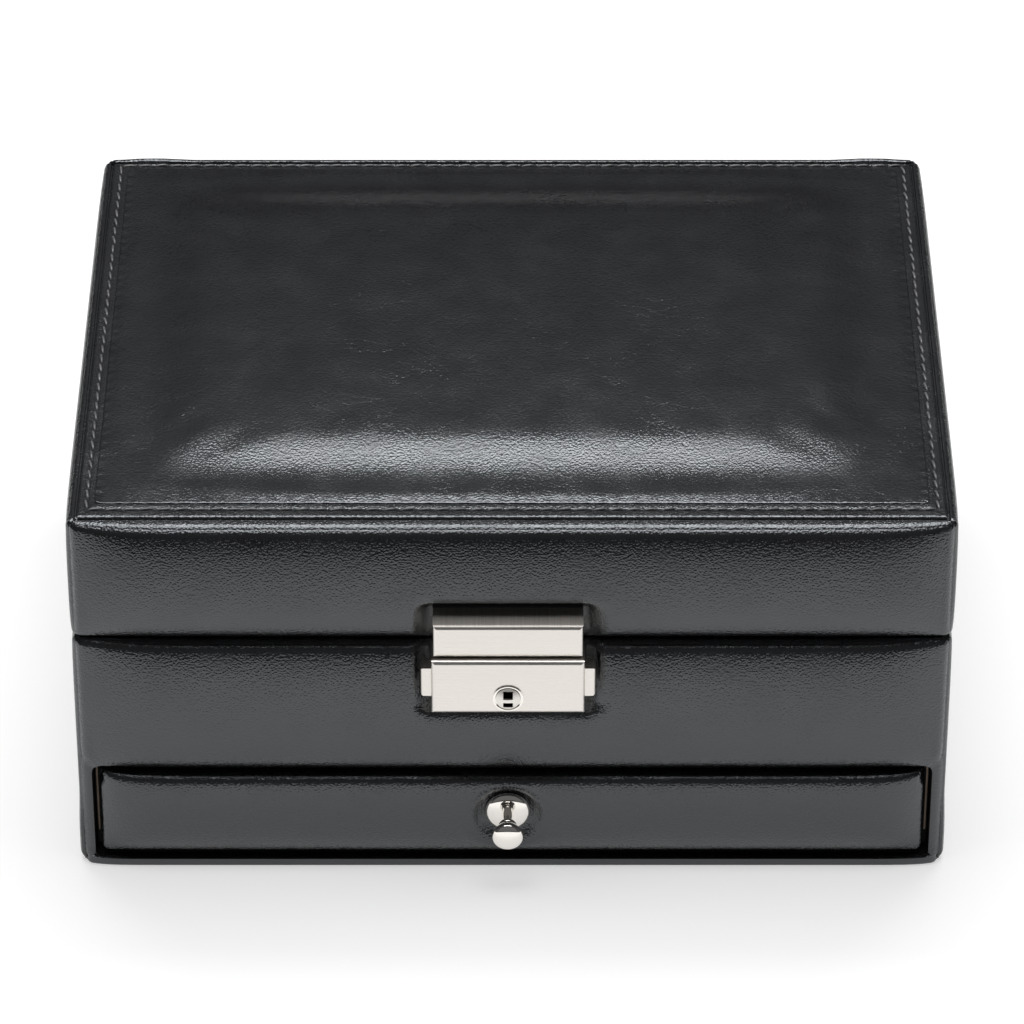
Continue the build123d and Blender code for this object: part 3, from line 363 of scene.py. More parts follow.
@dataclass(frozen=True)
class SharedGroups:
    """The node groups: pebble grain, long creases, brushed lines, short nap and fine dust."""

    grain: Tree
    creases: Tree
    brushed: Tree
    nap: Tree
    dust: Tree

    @staticmethod
    def build() -> "SharedGroups":
        """Build each group once."""
        return SharedGroups(build_grain(), build_creases(), build_brushed(), build_nap(), build_dust())


def build_grain() -> Tree:
    """Leather grain: flat pebbles between fine creases, with larger soft unevenness."""
    bench, given, out = new_group("leather_grain", {"Pebble": 1250.0, "Wave": 90.0},
                                  ("Height", "Crease", "Cloud"))
    place = bench.place()
    warp = bench.noise(place, 420.0, 2.0, "Color")
    bent = bench.vector("ADD", place, bench.vector("MULTIPLY", warp, (0.0004, 0.0004, 0.0004)))
    values = {"Vector": bent, "Scale": given["Pebble"], "Smoothness": 0.35, "Randomness": 0.9}
    cells = bench.add("ShaderNodeTexVoronoi", values, feature="SMOOTH_F1").outputs["Distance"]
    fine = bench.noise(bent, bench.maths("MULTIPLY", given["Pebble"], 2.3), 3.0)
    dome = bench.ramp(cells, 0.15, 0.75, (1.0, 0.0))
    bench.fit(out, {"Height": bench.maths("ADD", dome, bench.maths("MULTIPLY", fine, 0.35)),
                    "Crease": bench.ramp(cells, 0.55, 0.85),
                    "Cloud": bench.noise(place, given["Wave"], 3.0)})
    return bench.tree


def build_creases() -> Tree:
    """Long fine creases of stretched hide, gathered in patches."""
    bench, given, out = new_group("hide_creases", {"Folds": 55.0}, ("Height",))
    place = bench.place()
    lines = bench.noise(place, given["Folds"], 5.0, Roughness=0.62, Distortion=1.4)
    away = bench.maths("ABSOLUTE", bench.maths("SUBTRACT", lines, 0.5))
    share = bench.ramp(bench.noise(place, 21.0, 2.0), 0.42, 0.6)
    faded = bench.maths("MULTIPLY", bench.maths("SUBTRACT", bench.ramp(away, 0.0, 0.022), 1.0), share)
    swell = bench.maths("MULTIPLY", bench.noise(place, 160.0, 3.0), 0.6)
    bench.fit(out, {"Height": bench.maths("ADD", faded, swell)})
    return bench.tree


def build_brushed() -> Tree:
    """Brushing: long fine lines along X, as on the lock's fronts."""
    bench, given, out = new_group("brushed_lines", {"Along": 60.0, "Across": 5200.0}, ("Lines",))
    across = given["Across"]
    scale = bench.add("ShaderNodeCombineXYZ", {"X": given["Along"], "Y": across, "Z": across}).outputs[0]
    drawn = bench.vector("MULTIPLY", bench.place(), scale)
    bench.fit(out, {"Lines": bench.noise(drawn, 1.0, 4.0, Roughness=0.6)})
    return bench.tree


def build_nap() -> Tree:
    """Suede or felt: short fibres, and patches where the nap lies another way."""
    bench, given, out = new_group("short_nap", {"Fibre": 4200.0, "Patch": 70.0}, ("Height", "Brushed"))
    place = bench.place()
    patch = bench.noise(place, given["Patch"], 4.0, Distortion=0.6)
    bench.fit(out, {"Height": bench.noise(place, given["Fibre"], 5.0, Roughness=0.7),
                    "Brushed": bench.ramp(patch, 0.35, 0.65)})
    return bench.tree


def build_dust() -> Tree:
    """A few fine specks."""
    bench, given, out = new_group("fine_dust", {"Specks": 900.0}, ("Mask",))
    place = bench.place()
    values = {"Vector": place, "Scale": given["Specks"]}
    dots = bench.add("ShaderNodeTexVoronoi", values, feature="F1").outputs["Distance"]
    rare = bench.ramp(bench.noise(place, 260.0, 1.0), 0.62, 0.7)
    bench.fit(out, {"Mask": bench.maths("MULTIPLY", bench.ramp(dots, 0.05, 0.14, (1.0, 0.0)), rare)})
    return bench.tree


# ---- Finishes ---------------------------------------------------------------------------------------
def new_material(name: str) -> tuple[Material, NodeBench, bpy.types.Node]:
    """A material with an empty Principled shader.

    Returns:
        The material, a bench on its tree, and the shader.
    """
    material = bpy.data.materials.new(name)
    material.use_nodes = True
    return material, NodeBench(material.node_tree), material.node_tree.nodes["Principled BSDF"]


def darker(colour: Colour, share: float) -> Colour:
    """A colour times a share."""
    return tuple(c * share for c in colour)


@dataclass(frozen=True)
class Leather:
    """Black box leather: fine pebble grain, semi-gloss, with a few grey specks."""

    name: str = "black_leather"
    base: Colour = (0.0075, 0.0077, 0.0085)
    crease: Colour = (0.003, 0.003, 0.0035)
    speck: Colour = (0.2, 0.2, 0.19)
    roughness: float = 0.25
    specular: float = 1.0
    tint: Colour = (0.92, 0.96, 1.0)
    bump: float = 1.0
    depth: float = 0.06
    pebble: float = 1800.0
    wrinkle: float = 0.0
    wrinkle_depth: float = 0.12

    def build(self, groups: SharedGroups) -> Material:
        """Make the material."""
        material, bench, shader = new_material(self.name)
        grain = bench.group(groups.grain, Pebble=self.pebble, Wave=90.0)
        dust = bench.group(groups.dust, Specks=900.0)
        colour = bench.mix(grain["Crease"], self.base, self.crease)
        colour = bench.mix(bench.maths("MULTIPLY", dust["Mask"], 0.25), colour, self.speck)
        under = {}
        if self.wrinkle:
            folds = bench.group(groups.creases, Folds=55.0)
            under["Normal"] = bench.bump(folds["Height"], self.wrinkle, self.wrinkle_depth)
        ends = (self.roughness - 0.04, self.roughness + 0.05)
        bench.fit(shader, {"Base Color": colour, "Roughness": bench.ramp(grain["Cloud"], 0.3, 0.7, ends),
                           "Normal": bench.bump(grain["Height"], self.bump, self.depth, **under),
                           "Specular IOR Level": self.specular, "Specular Tint": (*self.tint, 1.0)})
        return material


@dataclass(frozen=True)
class Nickel:
    """Nickel plate or steel, with brushed lines or polished; a drawn top is also painted darker for its
    shade.
    """

    name: str
    base: Colour
    roughness: float
    line_bump: float
    along: float = 60.0
    across: float = 5200.0
    drawn_shaded_top: bool = False

    def build(self, groups: SharedGroups) -> Material:
        """Make the material."""
        material, bench, shader = new_material(self.name)
        lines = bench.group(groups.brushed, Along=self.along, Across=self.across)["Lines"]
        dust = bench.group(groups.dust, Specks=1400.0)
        colour = bench.mix(lines, darker(self.base, 0.86), self.base)
        rough = bench.ramp(lines, 0.3, 0.7, (self.roughness * 0.8, self.roughness * 1.2))
        rough = bench.maths("ADD", rough, bench.maths("MULTIPLY", dust["Mask"], 0.2))
        # Drawn top: brushed across and rougher, and its colour painted darker on faces that look up, a
        # painted shade on the top.
        if self.drawn_shaded_top:
            drawn = bench.group(groups.brushed, Along=self.across, Across=self.along)["Lines"]
            facing = bench.add("ShaderNodeTexCoord").outputs["Normal"]
            up = bench.ramp(bench.parts(facing)[2], 0.6, 0.9)
            rough = bench.maths("ADD", rough, bench.maths("MULTIPLY", up, 0.28))
            colour = bench.mix(up, colour, bench.mix(drawn, darker(self.base, 0.55), self.base))
        bench.fit(shader, {"Base Color": colour, "Roughness": rough, "Metallic": 1.0,
                           "Normal": bench.bump(lines, self.line_bump, 0.01)})
        return material


@dataclass(frozen=True)
class Nap:
    """Suede or felt, with a soft sheen."""

    name: str
    base: Colour
    lighter: Colour
    sheen: float
    fibre: float = 4200.0

    def build(self, groups: SharedGroups) -> Material:
        """Make the material."""
        material, bench, shader = new_material(self.name)
        nap = bench.group(groups.nap, Fibre=self.fibre, Patch=70.0)
        colour = bench.mix(nap["Brushed"], self.base, self.lighter)
        shade = bench.ramp(nap["Height"], 0.3, 0.7, (0.75, 1.15))
        bench.fit(shader, {"Base Color": bench.vector("MULTIPLY", colour, shade), "Roughness": 0.95,
                           "Normal": bench.bump(nap["Height"], 0.5, 0.12),
                           "Sheen Weight": self.sheen, "Sheen Roughness": 0.5})
        return material


@dataclass(frozen=True)
class FibreBoard:
    """Pressed fibre board: pale brown with darker specks and a fine fibrous surface."""

    name: str = "fibre_board"
    base: Colour = (0.30, 0.19, 0.11)
    fleck: Colour = (0.16, 0.09, 0.05)

    def build(self, groups: SharedGroups) -> Material:
        """Make the material."""
        material, bench, shader = new_material(self.name)
        nap = bench.group(groups.nap, Fibre=2600.0, Patch=240.0)
        colour = bench.mix(bench.ramp(nap["Height"], 0.45, 0.75), self.base, self.fleck)
        bench.fit(shader, {"Base Color": colour, "Roughness": 0.85,
                           "Normal": bench.bump(nap["Height"], 0.3, 0.08)})
        return material


@dataclass(frozen=True)
class BlackShadeBoard:
    """Board coloured black for turned-in leather and painted shade in the gaps; its raw edge is a fine line
    by the drawer, painted lighter than raw board to show through the shade.
    """

    name: str = "black_board_painted_shade"
    # Painted shade: black for the turned-in leather and the shade in the gaps round the drawer.
    base: Colour = (0.008, 0.008, 0.009)
    lighter: Colour = (0.014, 0.014, 0.015)
    # Painted light: the raw edge far lighter than raw board, so that the line shows through the gap's shade.
    bare_edge_lit: Colour = (0.8, 0.62, 0.46)
    line: Pair = (95.95, 96.35)
    line_low: float = 7.0

    def build(self, groups: SharedGroups) -> Material:
        """Make the material."""
        material, bench, shader = new_material(self.name)
        nap = bench.group(groups.nap, Fibre=3000.0, Patch=180.0)
        part = bench.parts(bench.place())
        across = bench.maths("ABSOLUTE", part[0])
        inner = bench.maths("GREATER_THAN", across, self.line[0] * MM)
        outer = bench.maths("LESS_THAN", across, self.line[1] * MM)
        above = bench.maths("GREATER_THAN", part[2], self.line_low * MM)
        mask = bench.maths("MULTIPLY", bench.maths("MULTIPLY", inner, outer), above)
        paper = bench.mix(nap["Brushed"], self.base, self.lighter)
        bench.fit(shader, {"Base Color": bench.mix(mask, paper, self.bare_edge_lit), "Roughness": 0.8,
                           "Normal": bench.bump(nap["Height"], 0.2, 0.05)})
        return material


@dataclass(frozen=True)
class Barrel:
    """The key barrel: a bright satin face, painted near black behind it for the shade down the key slot."""

    name: str = "barrel_nickel"
    base: Colour = (0.90, 0.87, 0.82)
    keyway_shade: Colour = (0.012, 0.012, 0.013)
    face: float = -86.45

    def build(self, groups: SharedGroups) -> Material:
        """Make the material."""
        material, bench, shader = new_material(self.name)
        lines = bench.group(groups.brushed, Along=90.0, Across=3200.0)["Lines"]
        # Painted shade: deeper than the face, the colour is near black for the shade in the key slot.
        deep = bench.maths("GREATER_THAN", bench.parts(bench.place())[1], self.face * MM)
        bright = bench.mix(lines, darker(self.base, 0.9), self.base)
        bench.fit(shader, {"Base Color": bench.mix(deep, bright, self.keyway_shade), "Metallic": 1.0,
                           "Roughness": bench.ramp(lines, 0.3, 0.7, (0.36, 0.5))})
        return material


@dataclass(frozen=True)
class Thread:
    """Waxed black thread, a twist of strands, painted grey and lighter in patches for the light it catches.
    """

    name: str = "waxed_thread"
    # Painted highlight: grey rather than black, lighter in patches, for the light on the stitches.
    base: Colour = (0.07, 0.07, 0.075)
    lighter: Colour = (0.16, 0.16, 0.165)

    def build(self, groups: SharedGroups) -> Material:
        """Make the material."""
        material, bench, shader = new_material(self.name)
        nap = bench.group(groups.nap, Fibre=5200.0, Patch=900.0)
        bench.fit(shader, {"Base Color": bench.mix(nap["Brushed"], self.base, self.lighter),
                           "Normal": bench.bump(nap["Height"], 0.4, 0.05),
                           "Roughness": 0.38, "Specular IOR Level": 0.8})
        return material


@dataclass(frozen=True)
class Finishes:
    """Every material of the box."""

    leather: Material
    pad_leather: Material
    satin: Material
    satin_shaded_top: Material
    polished: Material
    steel: Material
    suede: Material
    felt: Material
    board: Material
    black_shade_board: Material
    barrel: Material
    thread: Material

    @staticmethod
    def build() -> "Finishes":
        """Build the shared groups and each finish."""
        groups = SharedGroups.build()
        satin = {"roughness": 0.3, "line_bump": 0.5}
        finishes = {
            "leather": Leather(),
            "pad_leather": Leather("pad_leather", roughness=0.24, bump=0.8, depth=0.05, pebble=1700.0,
                                   wrinkle=0.22),
            "satin": Nickel("satin_nickel", (0.82, 0.78, 0.73), **satin),
            # The hasp's satin, with a painted shade on its top.
            "satin_shaded_top": Nickel("satin_nickel_drawn_shaded_top", (0.84, 0.80, 0.75), **satin, drawn_shaded_top=True),
            "polished": Nickel("polished_nickel", (0.93, 0.90, 0.85), 0.05, 0.04),
            "steel": Nickel("plain_steel", (0.56, 0.56, 0.55), 0.32, 0.3),
            "suede": Nap("charcoal_suede", (0.025, 0.025, 0.028), (0.05, 0.05, 0.055), 0.4),
            "felt": Nap("base_felt", (0.012, 0.012, 0.013), (0.025, 0.025, 0.026), 0.3, 3200.0),
            "board": FibreBoard(),
            "black_shade_board": BlackShadeBoard(),
            "barrel": Barrel(),
            "thread": Thread(),
        }
        return Finishes(**{name: finish.build(groups) for name, finish in finishes.items()})


def paint(obj: Object, material: Material) -> None:
    """Give every material slot of an object this material."""
    if not obj.data.materials:
        obj.data.materials.append(material)
    for index in range(len(obj.data.materials)):
        obj.data.materials[index] = material
    for link in obj.material_slots:
        link.material = material


# ---- Curves that the leather follows -----------------------------------------------------------------
TINY = 1e-9


def ease_in_out(t: Array) -> Array:
    """0 to 1 with a flat start and end."""
    return t * t * (3 - 2 * t)


def gathered(distance: Array, reach: float) -> Array:
    """How far leather has risen at a distance from the edge that pinches it."""
    return 1 - np.exp(-((np.maximum(distance, 0) / reach) ** 1.25))


def onto_arc(a: Array, b: Array) -> Array:
    """The share that draws a point (a, b) of a square corner onto the arc in it."""
    return np.maximum(a, b) / np.maximum(np.hypot(a, b), TINY)


def round_plan(u: Array, v: Array, half: Pair, corner: float) -> tuple[Array, Array, Array, Array, Array]:
    """Draw the corners of a rectangle about the middle into arcs.

    Args:
        u: places along the rectangle.
        v: places across it.
        half: half its length and half its width.
        corner: the corners' radius.

    Returns:
        The moved places along and across, the outward direction's two parts, and the distance in.
    """
    a = np.clip((np.abs(u) - (half[0] - corner)) / corner, 0, None)
    b = np.clip((np.abs(v) - (half[1] - corner)) / corner, 0, None)
    both = (a > 0) & (b > 0)
    share = np.where(both, onto_arc(a, b), 1.0)
    length = np.maximum(np.hypot(a, b), TINY)
    in_u, in_v = half[0] - np.abs(u), half[1] - np.abs(v)
    return (
        np.where(both, np.sign(u) * (half[0] - corner + a * share * corner), u),
        np.where(both, np.sign(v) * (half[1] - corner + b * share * corner), v),
        np.where(both, a / length, (in_u <= in_v).astype(float)) * np.sign(u),
        np.where(both, b / length, (in_u > in_v).astype(float)) * np.sign(v),
        np.where(both, corner * (1 - np.maximum(a, b)), np.minimum(in_u, in_v)),
    )


def roll_edge(inset: Array, depth: Array, roll: float | Array, wide: float | Array
              ) -> tuple[Array, Array, Array]:
    """Roll the edge between a face and its side.

    Args:
        inset: distance in from the side.
        depth: distance down from the face.
        roll: how far in the roll begins.
        wide: how deep it goes.

    Returns:
        Where the roll is, and the rolled distances in and down.
    """
    u = np.clip(1 - inset / roll, 0, 1)
    w = np.clip(1 - depth / wide, 0, 1)
    f = onto_arc(u, w)
    return (u > 0) & (w > 0), wide * (1 - u * f), wide * (1 - w * f)


# ---- Leather over boards -----------------------------------------------------------------------------
@dataclass(frozen=True)
class Dent:
    """Leather held flat against the board under a metal fitting."""

    x_low: float
    x_high: float
    z_low: float
    z_high: float
    reach: float = 5.0

    def ease(self, x: Array, z: Array) -> Array:
        """0 under the fitting, rising to 1 at the dent's reach."""
        dx = np.maximum(np.maximum(self.x_low - x, x - self.x_high), 0.0)
        dz = np.maximum(np.maximum(self.z_low - z, z - self.z_high), 0.0)
        return ease_in_out(np.clip(np.hypot(dx, dz) / self.reach, 0.0, 1.0))


@dataclass
class CoveredBox:
    """Leather drawn round a box of boards: rolled edges, padded faces, pinched upright corners.

    Lengths are in mm. Subclasses say where the sheet is open.
    """

    name: str
    low: float
    high: float
    half_x: float = 100.0
    half_y: float = 77.5
    corner: float = 2.6
    roll_low: float = 0.9
    roll_high: float = 2.0
    roll_front: float = 2.3
    lift_front: float = 2.2
    lift_side: float = 1.35
    lift_back: float = 1.3
    proud: float = 1.9
    tuck: float = 1.1
    fall: float = 5.5
    pinch: float = 9.0
    thick: float = 0.76
    near: tuple[float, ...] = (0.12, 0.28, 0.45, 0.65, 0.9, 1.2, 1.5, 1.85, 2.3, 3.0, 4.2, 6.0, 8.5, 12.0)
    steps: Point = (5.0, 5.0, 2.2)
    dent: Dent | None = None
    extra_x: tuple[float, ...] = ()
    extra_y: tuple[float, ...] = ()
    extra_z: tuple[float, ...] = ()

    def blank(self) -> Object:
        """The sectioned block that the leather is shaped from."""
        low = (-self.half_x, -self.half_y, self.low)
        high = (self.half_x, self.half_y, self.high)
        obj = add_block(self.name, low, high)
        for axis, extra in enumerate((self.extra_x, self.extra_y, self.extra_z)):
            even = toward_edges(low[axis], high[axis], self.near, self.steps[axis])
            section(obj, axis, sorted({*even, *extra}))
        return obj

    def base_of(self, x: Array, y: Array, z: Array) -> Array:
        """The height at which each place's padded face begins."""
        return np.full_like(z, self.low)

    def lifts(self, x: Array, y: Array, z: Array, nx: Array, ny: Array) -> Array:
        """How far the padding lifts each place off its board."""
        along = np.where(np.abs(nx) > np.abs(ny), self.half_y - np.abs(y), self.half_x - np.abs(x))
        below = np.clip(self.high - z, 0, None)
        above = np.clip(z - self.base_of(x, y, z), 0, None)
        rise = (1 - np.exp(-below / self.fall)) * (1 - np.exp(-above / (0.55 * self.fall)))
        front = np.where(ny < 0, self.lift_front, self.lift_back)
        lift = (np.abs(nx) * self.lift_side + np.abs(ny) * front) * rise
        foot = 1 - np.exp(-above / self.tuck)
        lift = lift + self.proud * np.abs(ny) * (ny < 0) * foot
        if self.dent is not None:
            held = self.dent.ease(x, z)
            lift = np.where(ny < -0.5, lift * held, lift)
        return lift * gathered(along, self.pinch)

    def drape(self, p: Array) -> Array:
        """Round the corners and edges and lift the faces."""
        x, y, z = p.T
        rx, ry, nx, ny, inset = round_plan(x, y, (self.half_x, self.half_y), self.corner)
        ahead = gathered(self.half_x - np.abs(x), self.pinch) * np.abs(ny) * (ny < 0)
        full = self.roll_high + (self.roll_front - self.roll_high) * ahead
        out, height = inset, z
        for roll, wide, edge, way in (
            (self.roll_high, full, self.high, 1),
            (self.roll_low, self.roll_low, self.low, -1),
        ):
            turn, across, down = roll_edge(inset, (edge - z) * way, roll, wide)
            out = np.where(turn, across, out)
            height = np.where(turn, edge - way * down, height)
        rolled = (z > self.high - 0.01) & (ny < -0.5)
        share = np.where(rolled, (inset < self.roll_high - 0.02).astype(float), np.exp(-inset / 1.2))
        lift = self.lifts(x, y, z, nx, ny) * share
        shift = inset - out + lift
        return np.column_stack([rx + nx * shift, ry + ny * shift, height])

    def trim(self, obj: Object) -> None:
        """Remove the faces where the sheet is open."""

    def refine(self, p: Array) -> Array:
        """Last moves of the vertices: creases, folds and bevels."""
        return p

    def build(self) -> Object:
        """Make the sheet, give it its thickness and smooth it."""
        obj = self.blank()
        self.trim(obj)
        shape(obj, self.drape)
        shape(obj, self.refine)
        merge_doubles(obj)
        apply_modifier(obj, "SOLIDIFY", thickness=self.thick * MM, offset=-1.0, use_even_offset=False)
        smooth(obj, 55.0)
        return obj


def both_sides(*places: float) -> tuple[float, ...]:
    """Places on both sides of the middle."""
    return tuple(way * place for place in places for way in (-1, 1))


def over_tray_or_leaf(centre: Vector) -> bool:
    """Whether a face's centre lies over the tray or over a leaf of the hinge."""
    tray = abs(centre.x) < TRAY_X and TRAY_FRONT < centre.y < TRAY_BACK
    return tray or (abs(centre.x) < HINGE_HALF and TRAY_BACK < centre.y < LEAF_BACK)


@dataclass
class BodyLeather(CoveredBox):
    """Leather of the body, open for the drawer, the tray and the hinge."""

    name: str = "body_leather"
    low: float = 0.03
    high: float = 65.2
    opening_x: float = 97.0
    opening_low: float = 2.6
    opening_high: float = 29.2
    opening_corner: float = 2.8
    lift_side: float = 1.2
    tuck: float = 3.2
    sill_lift: float = 1.35
    foot: float = 2.6
    turned_under: float = 3.4
    dent: Dent | None = field(default_factory=lambda: Dent(-18.6, 16.8, 50.2, 70.0, 4.2))

    def __post_init__(self) -> None:
        """Sections where the sheet is cut or held."""
        self.extra_x = both_sides(TRAY_X, 96.6, 95.9, 95.0, HINGE_HALF)
        self.extra_x += (-24.0, -22.0, -20.0, -19.2, -18.6, 16.8, 17.4, 18.2, 20.2, 22.5)
        self.extra_y = (TRAY_FRONT, TRAY_BACK, LEAF_BACK, HINGE_Y)
        sill = (1.5, 2.0, self.opening_low, 3.0, 3.5, 4.1, 4.8, 5.6)
        off_head = (-3.0, -2.2, -1.5, -0.9, -0.4, 0.0, 0.3, 0.7, 1.2, 2.0, 3.2, 5.2)
        head = (round(self.opening_high + off, 1) for off in off_head)
        self.extra_z = (*sill, *head, 47.0, 48.6, 49.6, 50.2)

    def base_of(self, x: Array, y: Array, z: Array) -> Array:
        """On the front, the padded face begins above the drawer."""
        above = (y < -self.half_y + 0.01) & (np.abs(x) < self.opening_x) & (z > self.opening_high - 0.01)
        return np.where(above, self.opening_high - 1.2, self.low)

    def lifts(self, x: Array, y: Array, z: Array, nx: Array, ny: Array) -> Array:
        """The sill and the strips beside the drawer are hardly padded."""
        lift = super().lifts(x, y, z, nx, ny)
        ease = np.clip((z - self.opening_high) / 3.0, 0.0, 1.0)
        beside = (ny < -0.5) & ((np.abs(x) > self.opening_x - 0.01) | (z < self.opening_high - 0.01))
        lift = np.where(beside, lift * (0.15 + 0.85 * ease), lift)
        sill = self.sill_lift * gathered(self.half_x - np.abs(x), 4.0)
        sill = sill * np.clip((self.opening_low + 2.5 - z) / 2.5, 0.0, 1.0)
        flank = 0.7 * np.abs(nx) * np.clip((26.0 - z) / 16.0, 0, 1)
        return np.maximum(lift, np.where(ny < -0.5, sill, flank))

    def trim(self, obj: Object) -> None:
        """Open the sheet for the bottom, the tray, the drawer and the hinge."""
        inside_x, inside_y = self.half_x - self.turned_under, self.half_y - self.turned_under
        remove_faces(obj, lambda c, n: n.z < -0.5 and abs(c.x) < inside_x and abs(c.y) < inside_y)
        remove_faces(obj, lambda c, n: n.z > 0.5 and over_tray_or_leaf(c))
        remove_faces(obj, lambda c, n: n.y < -0.5 and abs(c.x) < self.opening_x
                     and self.opening_low < c.z < self.opening_high)
        take_up(obj)
        bpy.ops.object.mode_set(mode="EDIT")
        bpy.ops.mesh.select_mode(type="EDGE")
        mesh = bmesh.from_edit_mesh(obj.data)
        for edge in mesh.edges:
            middle = (edge.verts[0].co + edge.verts[1].co) / 2 / MM
            around = abs(middle.x) <= self.opening_x + 0.01 and 2.5 < middle.z < self.opening_high + 0.01
            edge.select_set(edge.is_boundary and abs(middle.y + self.half_y) < 0.01 and around)
        bmesh.update_edit_mesh(obj.data)
        bpy.ops.mesh.extrude_region_move(TRANSFORM_OT_translate={"value": (0, 0.9 * MM, 0)})
        bpy.ops.object.mode_set(mode="OBJECT")

    def drape(self, p: Array) -> Array:
        """The edges round the drawer are rolled inwards, with rounded corners."""
        x, depth, z = np.abs(p[:, 0]), p[:, 1] + self.half_y, p[:, 2]
        turned_in = (depth > 0.5) & (depth < 1.2) & (x < self.opening_x + 0.1)
        turned_in &= (z > self.opening_low - 0.1) & (z < self.opening_high + 0.1)
        flat = p.copy()
        flat[turned_in, 1] = -self.half_y
        moved = super().drape(flat)
        moved[turned_in, 1] = -self.half_y + 0.95
        ahead = (x < self.opening_x + 0.05) & (depth < 0.01)
        lip = ahead & (z > self.opening_low + 0.1) & (z < self.opening_high - 0.05)
        moved[lip, 1] = np.maximum(moved[lip, 1], -self.half_y + 0.12)
        sill = ahead & (np.abs(z - self.opening_low) < 0.05)
        moved[sill, 1] = -self.half_y + 0.3
        return moved

    def round_opening(self, p: Array) -> None:
        """Draw the leather round the opening's four corners in arcs."""
        for r, edge, way in ((self.opening_corner, self.opening_high, 1.0), (0.8, self.opening_low, -1.0)):
            middle_z = edge - way * r
            a = (np.abs(p[:, 0]) - (self.opening_x - r)) / r
            b = (p[:, 2] - middle_z) * way / r
            taken = (a > 0) & (b > 0) & (p[:, 1] < -self.half_y + 1.2)
            beyond = np.maximum(np.maximum(a, b) - 1, 0)
            s = 1 - (1 - onto_arc(a, b)) * np.exp(-beyond / 0.35)
            p[:, 0] = np.where(taken, np.sign(p[:, 0]) * (self.opening_x - r + a * s * r), p[:, 0])
            p[:, 2] = np.where(taken, middle_z + way * b * s * r, p[:, 2])

    def round_foot(self, p: Array) -> None:
        """Round the lower edge of the sides, which shows at the silhouette's lower corners."""
        r, edge = self.foot, self.half_x + 0.85
        a = (np.abs(p[:, 0]) - (edge - r)) / r
        b = (self.low + r - p[:, 2]) / r
        taken = (a > 0) & (b > 0)
        s = onto_arc(a, b)
        p[:, 0] = np.where(taken, np.sign(p[:, 0]) * (edge - r + a * s * r), p[:, 0])
        p[:, 2] = np.where(taken, self.low + r - b * s * r, p[:, 2])

    def refine(self, p: Array) -> Array:
        """Bevel the back edge behind the hinge and round the opening's corners."""
        bevel = HINGE_Z - 0.06 - BEVEL_SLOPE * (p[:, 1] - HINGE_Y)
        behind = p[:, 1] > HINGE_Y
        p[behind, 2] = np.minimum(p[behind, 2], bevel[behind])
        self.round_opening(p)
        self.round_foot(p)
        return p


@dataclass
class LidLeather(CoveredBox):
    """Leather of the lid: folded over its top as a rim and turned in under its walls."""

    name: str = "lid_leather"
    low: float = 65.7
    high: float = 97.0
    roll_low: float = 0.8
    roll_high: float = 1.6
    roll_front: float = 2.2
    tuck: float = 4.5
    lift_side: float = 1.4
    pinch: float = 8.0
    rim_x: float = 97.6
    rim_y: float = 75.1
    well: float = 96.3
    dent: Dent | None = field(default_factory=lambda: Dent(-18.2, 16.4, 60.0, 74.2, 4.2))

    def __post_init__(self) -> None:
        """Sections where the sheet is cut or held."""
        self.extra_x = both_sides(TRAY_X, 98.3, 98.2, self.rim_x, HINGE_HALF)
        self.extra_x += (-22.0, -20.0, -19.0, -18.2, 16.4, 17.2, 18.2, 20.2)
        self.extra_y = (TRAY_FRONT, TRAY_BACK, HINGE_Y, LEAF_BACK, *both_sides(75.8, 75.7, self.rim_y))
        self.extra_z = (74.2, 74.8, 75.6, 76.8, 78.2)

    def trim(self, obj: Object) -> None:
        """Open the sheet for the walls' inside, the panel and the hinge."""
        remove_faces(obj, lambda c, n: n.z < -0.5 and over_tray_or_leaf(c))
        remove_faces(obj, lambda c, n: n.z > 0.5 and abs(c.x) < self.rim_x and abs(c.y) < self.rim_y)

    def refine(self, p: Array) -> Array:
        """Bevel behind the hinge, mitre the rim's corners, sink the well and raise the rim at the back."""
        bevel = HINGE_Z + 0.06 + BEVEL_SLOPE * (p[:, 1] - HINGE_Y)
        behind = p[:, 1] > HINGE_Y
        p[behind, 2] = np.maximum(p[behind, 2], bevel[behind])
        x, y, z = p[:, 0], p[:, 1], p[:, 2]
        top = z > self.high - 1.2
        to_x, to_y = self.half_x - np.abs(x), self.half_y - np.abs(y)
        mitre = np.exp(-(((to_x - to_y) / 0.22) ** 2)) * (to_x < 3.0) * (to_y < 3.0)
        fold = np.exp(-((np.hypot(to_x, to_y) / 3.2) ** 2))
        z = np.where(top, z - 0.28 * mitre + 0.12 * fold * np.sin(4.1 * (to_x - to_y)), z)
        well = top & (np.abs(x) < 98.25) & (np.abs(y) < 75.75)
        back = 1 / (1 + np.exp(-(y - 76.0) / 0.4))
        knuckle = np.exp(-(((np.abs(x) - 88.0) / 6.0) ** 4))
        hump = (0.55 + 0.45 * knuckle) * back * np.clip((100.0 - np.abs(x)) / 3.0, 0, 1)
        p[:, 2] = np.where(well, self.well, np.where(top, z + hump, z))
        return p


